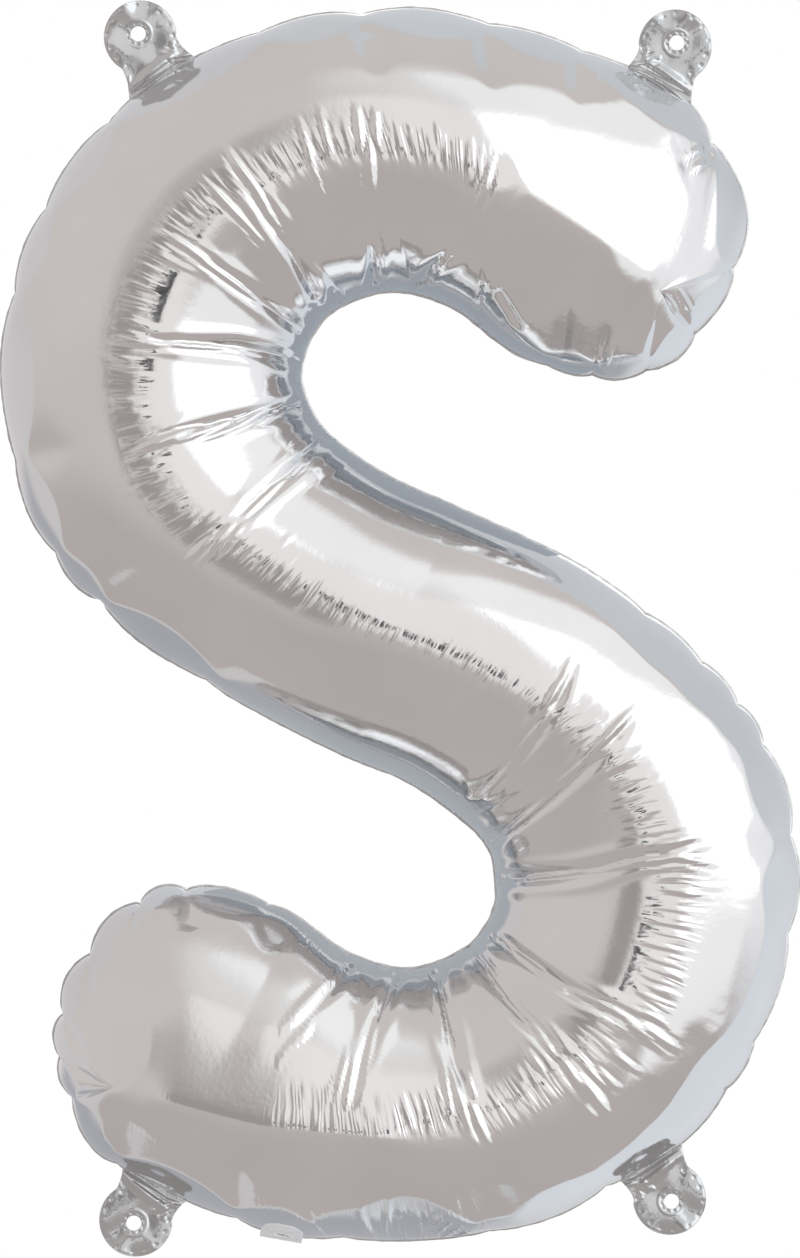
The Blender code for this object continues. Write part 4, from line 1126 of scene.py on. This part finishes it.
def build_tail():
    """Make the valve tail: a curled tongue with a ringed port, and the rolled crease that it turns on."""
    film = film_material("tail_film", metallic=TAIL_METALLIC)
    root, along = hinge("tail")
    front = np.array((0.0, -1.0, 0.0))
    up = np.cross(front, along)
    half = TAIL_WIDTH / 2
    corner = half * 0.8
    turns = np.radians(np.linspace(0.0, 90.0, 12))
    right = np.column_stack((half - corner + corner * np.cos(turns), TAIL_LENGTH - corner + corner * np.sin(turns)))
    left = np.column_stack((-right[::-1, 0], right[::-1, 1]))
    foot = np.array(((-half, 0.0), (half, 0.0), (half, 8.0)))
    loop = resample(np.concatenate((right, left, foot, right[:1])), 161)[:-1]
    grid = ring_grid(loop, (0.0, TAIL_PORT_ALONG), HOLE_RADIUS, 26)
    u, v = grid[:, :, 0], grid[:, :, 1]
    random = np.random.default_rng(TAIL_SEED)
    height = 0.28 * bell(np.hypot(u, v - TAIL_PORT_ALONG), RING_RADIUS, 0.32)
    height -= 0.12 * bell(np.abs(u), half - 0.7, 0.3)
    for _ in range(26):
        start = np.array((random.uniform(-half, half), random.uniform(0.5, TAIL_LENGTH)))
        angle = random.uniform(0.0, math.pi)
        end = start + random.uniform(1.5, 5.0) * np.array((math.cos(angle), math.sin(angle)))
        height += ridge(u, v, start, end, random.uniform(0.3, 0.8), random.uniform(-0.16, 0.2))
    bend = v / TAIL_CURL_RADIUS
    radius = TAIL_CURL_RADIUS - height
    out = radius * np.sin(bend)
    rise = TAIL_CURL_RADIUS - radius * np.cos(bend)
    points = root + u[:, :, None] * along + out[:, :, None] * front + rise[:, :, None] * up
    vertices, faces = plate(points, up, TAB_THICKNESS)
    sides = 20
    stations = np.linspace(-half, half, 25)
    angles = np.linspace(0.0, 2 * math.pi, sides, endpoint=False)
    radii = TAIL_BEAD_RADIUS + 0.03 * np.sin(stations * 1.7)
    roll = [root + station * along + radius * (math.cos(angle) * front + math.sin(angle) * up)
            for station, radius in zip(stations, radii) for angle in angles]
    loops = []
    for low in range(len(vertices), len(vertices) + (len(stations) - 1) * sides, sides):
        for side in range(sides):
            after = (side + 1) % sides
            loops.append((low + side, low + side + sides, low + after + sides, low + after))
    vertices = np.concatenate((vertices, np.array(roll)))
    faces = np.concatenate((faces, np.array(loops)))
    tail = make_object("valve_tail_film", vertices, faces, film)
    tail.visible_glossy = False
    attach(tail, "tail")
    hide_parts("valve_tail")


class Nodes:
    """Short calls for building a node tree."""

    def __init__(self, tree):
        self.tree = tree
        tree.nodes.clear()

    def add(self, kind, **inputs):
        """Add a node, with values or links for its inputs by name."""
        node = self.tree.nodes.new(kind)
        for name, value in inputs.items():
            self.put(value, node.inputs[name.replace("_", " ")])
        return node

    def put(self, value, socket):
        """Link an output to an input, or set the input's value."""
        if isinstance(value, bpy.types.NodeSocket):
            self.tree.links.new(value, socket)
        else:
            socket.default_value = value

    def vector(self, operation, first, second):
        """Add a vector math node."""
        node = self.add("ShaderNodeVectorMath")
        node.operation = operation
        self.put(first, node.inputs[0])
        self.put(second, node.inputs[1])
        return node

    def surface(self, shader):
        """End a material in a shader."""
        self.add("ShaderNodeOutputMaterial", Surface=shader)

    def ramp(self, factor, stops):
        """Add a colour ramp through (place, colour) stops."""
        node = self.add("ShaderNodeValToRGB", Fac=factor)
        elements = node.color_ramp.elements
        while len(elements) < len(stops):
            elements.new(0.5)
        for element, (place, colour) in zip(elements, stops):
            element.position = place
            element.color = colour + (1.0,)
        return node.outputs["Color"]

    def math(self, operation, first, second=0.0):
        """Add a math node."""
        node = self.add("ShaderNodeMath")
        node.operation = operation
        self.put(first, node.inputs[0])
        self.put(second, node.inputs[1])
        return node.outputs[0]

    def mix(self, factor, first, second):
        """Mix two colours, whose sockets are a mix node's inputs 6 and 7 and its output 2."""
        node = self.add("ShaderNodeMix")
        node.data_type = "RGBA"
        for index, value in ((0, factor), (6, first), (7, second)):
            self.put(value + (1.0,) if isinstance(value, tuple) else value, node.inputs[index])
        return node.outputs[2]


def crinkles(nodes, normal):
    """Add long narrow crinkles across the letter's stroke, where the film's map says so."""
    film = nodes.add("ShaderNodeUVMap")
    film.uv_map = "film"
    scale = (1.0 / (CRINKLE_SPACING * MM), 1.0 / (CRINKLE_LENGTH * MM), 0.0)
    scaled = nodes.vector("MULTIPLY", film.outputs["UV"], scale).outputs["Vector"]
    strength = nodes.add("ShaderNodeUVMap")
    strength.uv_map = "crinkle"
    parts = nodes.add("ShaderNodeSeparateXYZ", Vector=strength.outputs["UV"])
    bent = nodes.add("ShaderNodeTexNoise", Vector=scaled, Scale=0.45, Detail=2.0, Roughness=0.5)
    size = nodes.add("ShaderNodeTexNoise", Vector=scaled, Scale=0.7, Detail=1.0, Roughness=0.5)
    size = nodes.add("ShaderNodeMapRange", Value=size.outputs["Fac"], From_Min=0.38, From_Max=0.62, To_Min=0.15,
                     To_Max=1.0)
    place = nodes.add("ShaderNodeSeparateXYZ", Vector=scaled).outputs["X"]
    place = nodes.math("ADD", place, nodes.math("MULTIPLY", bent.outputs["Fac"], 4.0))
    wave = nodes.math("ABSOLUTE", nodes.math("SUBTRACT", nodes.math("FRACT", place), 0.5))
    wave = nodes.math("MULTIPLY", wave, size.outputs["Result"])
    height = nodes.math("MULTIPLY", wave, parts.outputs["X"])
    bump = nodes.add("ShaderNodeBump", Strength=1.0, Distance=CRINKLE_HEIGHT * MM, Height=height, Normal=normal)
    return bump.outputs["Normal"]


def node_material(name):
    """Make a material with an empty node tree."""
    material = bpy.data.materials.new(name)
    material.use_nodes = True
    return material, Nodes(material.node_tree)


def film_material(name, crinkled=False, metallic=1.0):
    """Make a metallised film: a near mirror with faint clouding, fine ripples and, where asked, crinkles."""
    low, high, roughness, ripple_size, ripple_height = FILMS[name]
    material, nodes = node_material(name)
    place = nodes.add("ShaderNodeTexCoord").outputs["Object"]
    clouds = nodes.add("ShaderNodeTexNoise", Vector=place, Scale=28.0, Detail=3.0, Roughness=0.5)
    colour = nodes.ramp(clouds.outputs["Fac"], ((0.35, low), (0.65, high)))
    ripples = nodes.add("ShaderNodeTexNoise", Vector=place, Scale=1.0 / (ripple_size * MM), Detail=2.0, Roughness=0.45)
    streaks = nodes.add("ShaderNodeTexNoise", Vector=place, Scale=160.0, Detail=4.0, Roughness=0.6)
    rough = nodes.add("ShaderNodeMapRange", Value=streaks.outputs["Fac"], From_Min=0.3, From_Max=0.7,
                      To_Min=roughness * 0.8, To_Max=roughness * 1.25)
    bump = nodes.add("ShaderNodeBump", Strength=1.0, Distance=ripple_height * MM, Height=ripples.outputs["Fac"])
    normal = crinkles(nodes, bump.outputs["Normal"]) if crinkled else bump.outputs["Normal"]
    shader = nodes.add("ShaderNodeBsdfPrincipled", Base_Color=colour, Metallic=metallic,
                       Roughness=rough.outputs["Result"], Normal=normal)
    nodes.surface(shader.outputs["BSDF"])
    return material


def aim(azimuth, elevation):
    """Give a unit direction: azimuth from the camera towards the right, then elevation, in degrees."""
    turn = math.radians(azimuth)
    rise = math.radians(elevation)
    return (math.sin(turn) * math.cos(rise), -math.cos(turn) * math.cos(rise), math.sin(rise))


class Room:
    """The pale room that the film mirrors, built as a world of soft-edged areas."""

    def __init__(self, nodes):
        self.nodes = nodes
        self.direction = nodes.add("ShaderNodeTexCoord").outputs["Generated"]

    def along(self, way):
        """Give how far the direction looks along a way, from -1 to 1."""
        return self.nodes.vector("DOT_PRODUCT", self.direction, way).outputs["Value"]

    def rise(self, value, start, end):
        """Give a smooth step from 0 at start to 1 at end."""
        node = self.nodes.add("ShaderNodeMapRange", Value=value, From_Min=start, From_Max=end)
        node.interpolation_type = "SMOOTHSTEP"
        return node.outputs["Result"]

    def spot(self, azimuth, elevation, inner, outer):
        """Give a round area: 1 within the inner angle and 0 beyond the outer one."""
        value = self.along(aim(azimuth, elevation))
        return self.rise(value, math.cos(math.radians(outer)), math.cos(math.radians(inner)))

    def panel(self, azimuth, elevation, half_width, half_height, soft):
        """Give a straight-edged area, its half sizes as tangents of angles."""
        ahead = self.along(aim(azimuth, elevation))
        turn = math.radians(azimuth)
        beside = self.along((math.cos(turn), math.sin(turn), 0.0))
        above = self.along(aim(azimuth, elevation + 90.0))
        mask = self.rise(ahead, 0.0, 0.05)
        for part, half in ((beside, half_width), (above, half_height)):
            ratio = self.nodes.math("ABSOLUTE", self.nodes.math("DIVIDE", part, ahead))
            mask = self.nodes.math("MULTIPLY", mask, self.rise(ratio, half + soft, half - soft))
        return mask

    def lay(self, colour, areas):
        """Lay areas on a colour, spots with four sizes and panels with five."""
        for sizes, tint in areas:
            mask = self.spot(*sizes) if len(sizes) == 4 else self.panel(*sizes)
            colour = self.nodes.mix(mask, colour, tint)
        return colour


def set_world():
    """Make the room: warm in front, darker below, white at the right, pale behind, and dark at the camera."""
    world = bpy.data.worlds.new("studio")
    bpy.context.scene.world = world
    world.use_nodes = True
    nodes = Nodes(world.node_tree)
    room = Room(nodes)
    back = room.along((0.0, 1.0, 0.0))
    up = room.along((0.0, 0.0, 1.0))
    right = room.along((1.0, 0.0, 0.0))
    colour = nodes.mix(room.rise(up, -0.40, 0.12), (0.60, 0.545, 0.525), (0.77, 0.71, 0.685))
    colour = nodes.mix(room.rise(right, 0.80, 0.99), colour, (0.92, 0.93, 0.95))
    colour = room.lay(colour, FRONT_AREAS)
    behind = nodes.mix(room.rise(up, -0.8, 0.1), (0.70, 0.695, 0.70), (0.74, 0.76, 0.79))
    behind = nodes.mix(room.rise(right, 0.1, -0.7), behind, (0.76, 0.725, 0.725))
    behind = room.lay(behind, BACK_AREAS)
    colour = nodes.mix(room.rise(back, 0.02, 0.06), colour, behind)
    colour = room.lay(colour, (CAMERA_SPOT,))
    path = nodes.add("ShaderNodeLightPath")
    lit = nodes.add("ShaderNodeBackground", Color=colour, Strength=1.0)
    white = nodes.add("ShaderNodeBackground", Color=(1.0, 1.0, 1.0, 1.0), Strength=1.0)
    choice = nodes.add("ShaderNodeMixShader")
    for output, socket in zip((path.outputs["Is Camera Ray"], lit.outputs[0], white.outputs[0]), choice.inputs):
        nodes.put(output, socket)
    nodes.add("ShaderNodeOutputWorld", Surface=choice.outputs[0])


def set_camera():
    """Look at the letter's front, square on, so that the photograph's frame is filled."""
    scene = bpy.context.scene
    centre = millimetres((PHOTO_WIDTH / 2, PHOTO_HEIGHT / 2)) * MM
    camera = bpy.data.cameras.new("camera")
    camera.lens = camera.sensor_width * CAMERA_DISTANCE / (PHOTO_HEIGHT * PIXEL * MM)
    camera.clip_start = 0.1
    camera.clip_end = 50.0
    viewer = bpy.data.objects.new("camera", camera)
    scene.collection.objects.link(viewer)
    viewer.location = (centre[0], -CAMERA_DISTANCE, centre[1])
    viewer.rotation_euler = (math.pi / 2, 0.0, 0.0)
    scene.camera = viewer
    scene.view_settings.view_transform = "Standard"


def set_floor():
    """Lay a plain pale floor under the letter and light it softly from above."""
    material = bpy.data.materials.new("floor")
    material.use_nodes = True
    shader = material.node_tree.nodes["Principled BSDF"]
    shader.inputs["Base Color"].default_value = (0.80, 0.79, 0.78, 1.0)
    shader.inputs["Roughness"].default_value = 0.9
    corners = np.array([(x, y, FLOOR_Z) for x, y in FLOOR_CORNERS])
    floor = make_object("floor", corners, [tuple(range(len(corners)))], material)
    floor.visible_glossy = False
    light = bpy.data.lights.new("overhead", "AREA")
    light.shape = "DISK"
    light.size = 1.6
    light.energy = 12.0
    lamp = bpy.data.objects.new("overhead", light)
    bpy.context.scene.collection.objects.link(lamp)
    lamp.location = (0.5, -0.4, 1.6)
    lamp.visible_glossy = False


def set_shade_cards():
    """Stand a grey glowing card in each bay, which only the film's reflections show, as painted shade in the bays."""
    for name, (corners, colour) in BAY_SHADE_CARDS.items():
        material, nodes = node_material(name)
        # Each card glows with its grey and lights nothing: painted shade that the film mirrors in the bays
        nodes.surface(nodes.add("ShaderNodeEmission", Color=colour + (1.0,), Strength=1.0).outputs["Emission"])
        points = np.array([(x, SHADE_CARD_Y, z) for x, z in flat_line(corners)])
        shade_card = make_object(name, points, [tuple(range(len(points)))], material)
        shade_card.visible_camera = False
        shade_card.visible_diffuse = False
        shade_card.visible_shadow = False


def build_foils():
    """Make the front and back foil panels."""
    outline = Outline()
    film = film_material("foil_film", crinkled=True)
    along, across = ((1, 1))
    for node, (side, stations, fan, rows, seed, amount) in PANELS.items():
        panel = Panel(outline, side, stations // along, fan // along, rows // across, seed)
        lay_details(panel, amount)
        skin = finish_panel(panel, node + "_skin", film)
        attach(skin, "envelope")
        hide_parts(node)


set_world()
set_camera()
set_floor()
set_shade_cards()
build_foils()
build_strip()
build_tabs()
build_tail()
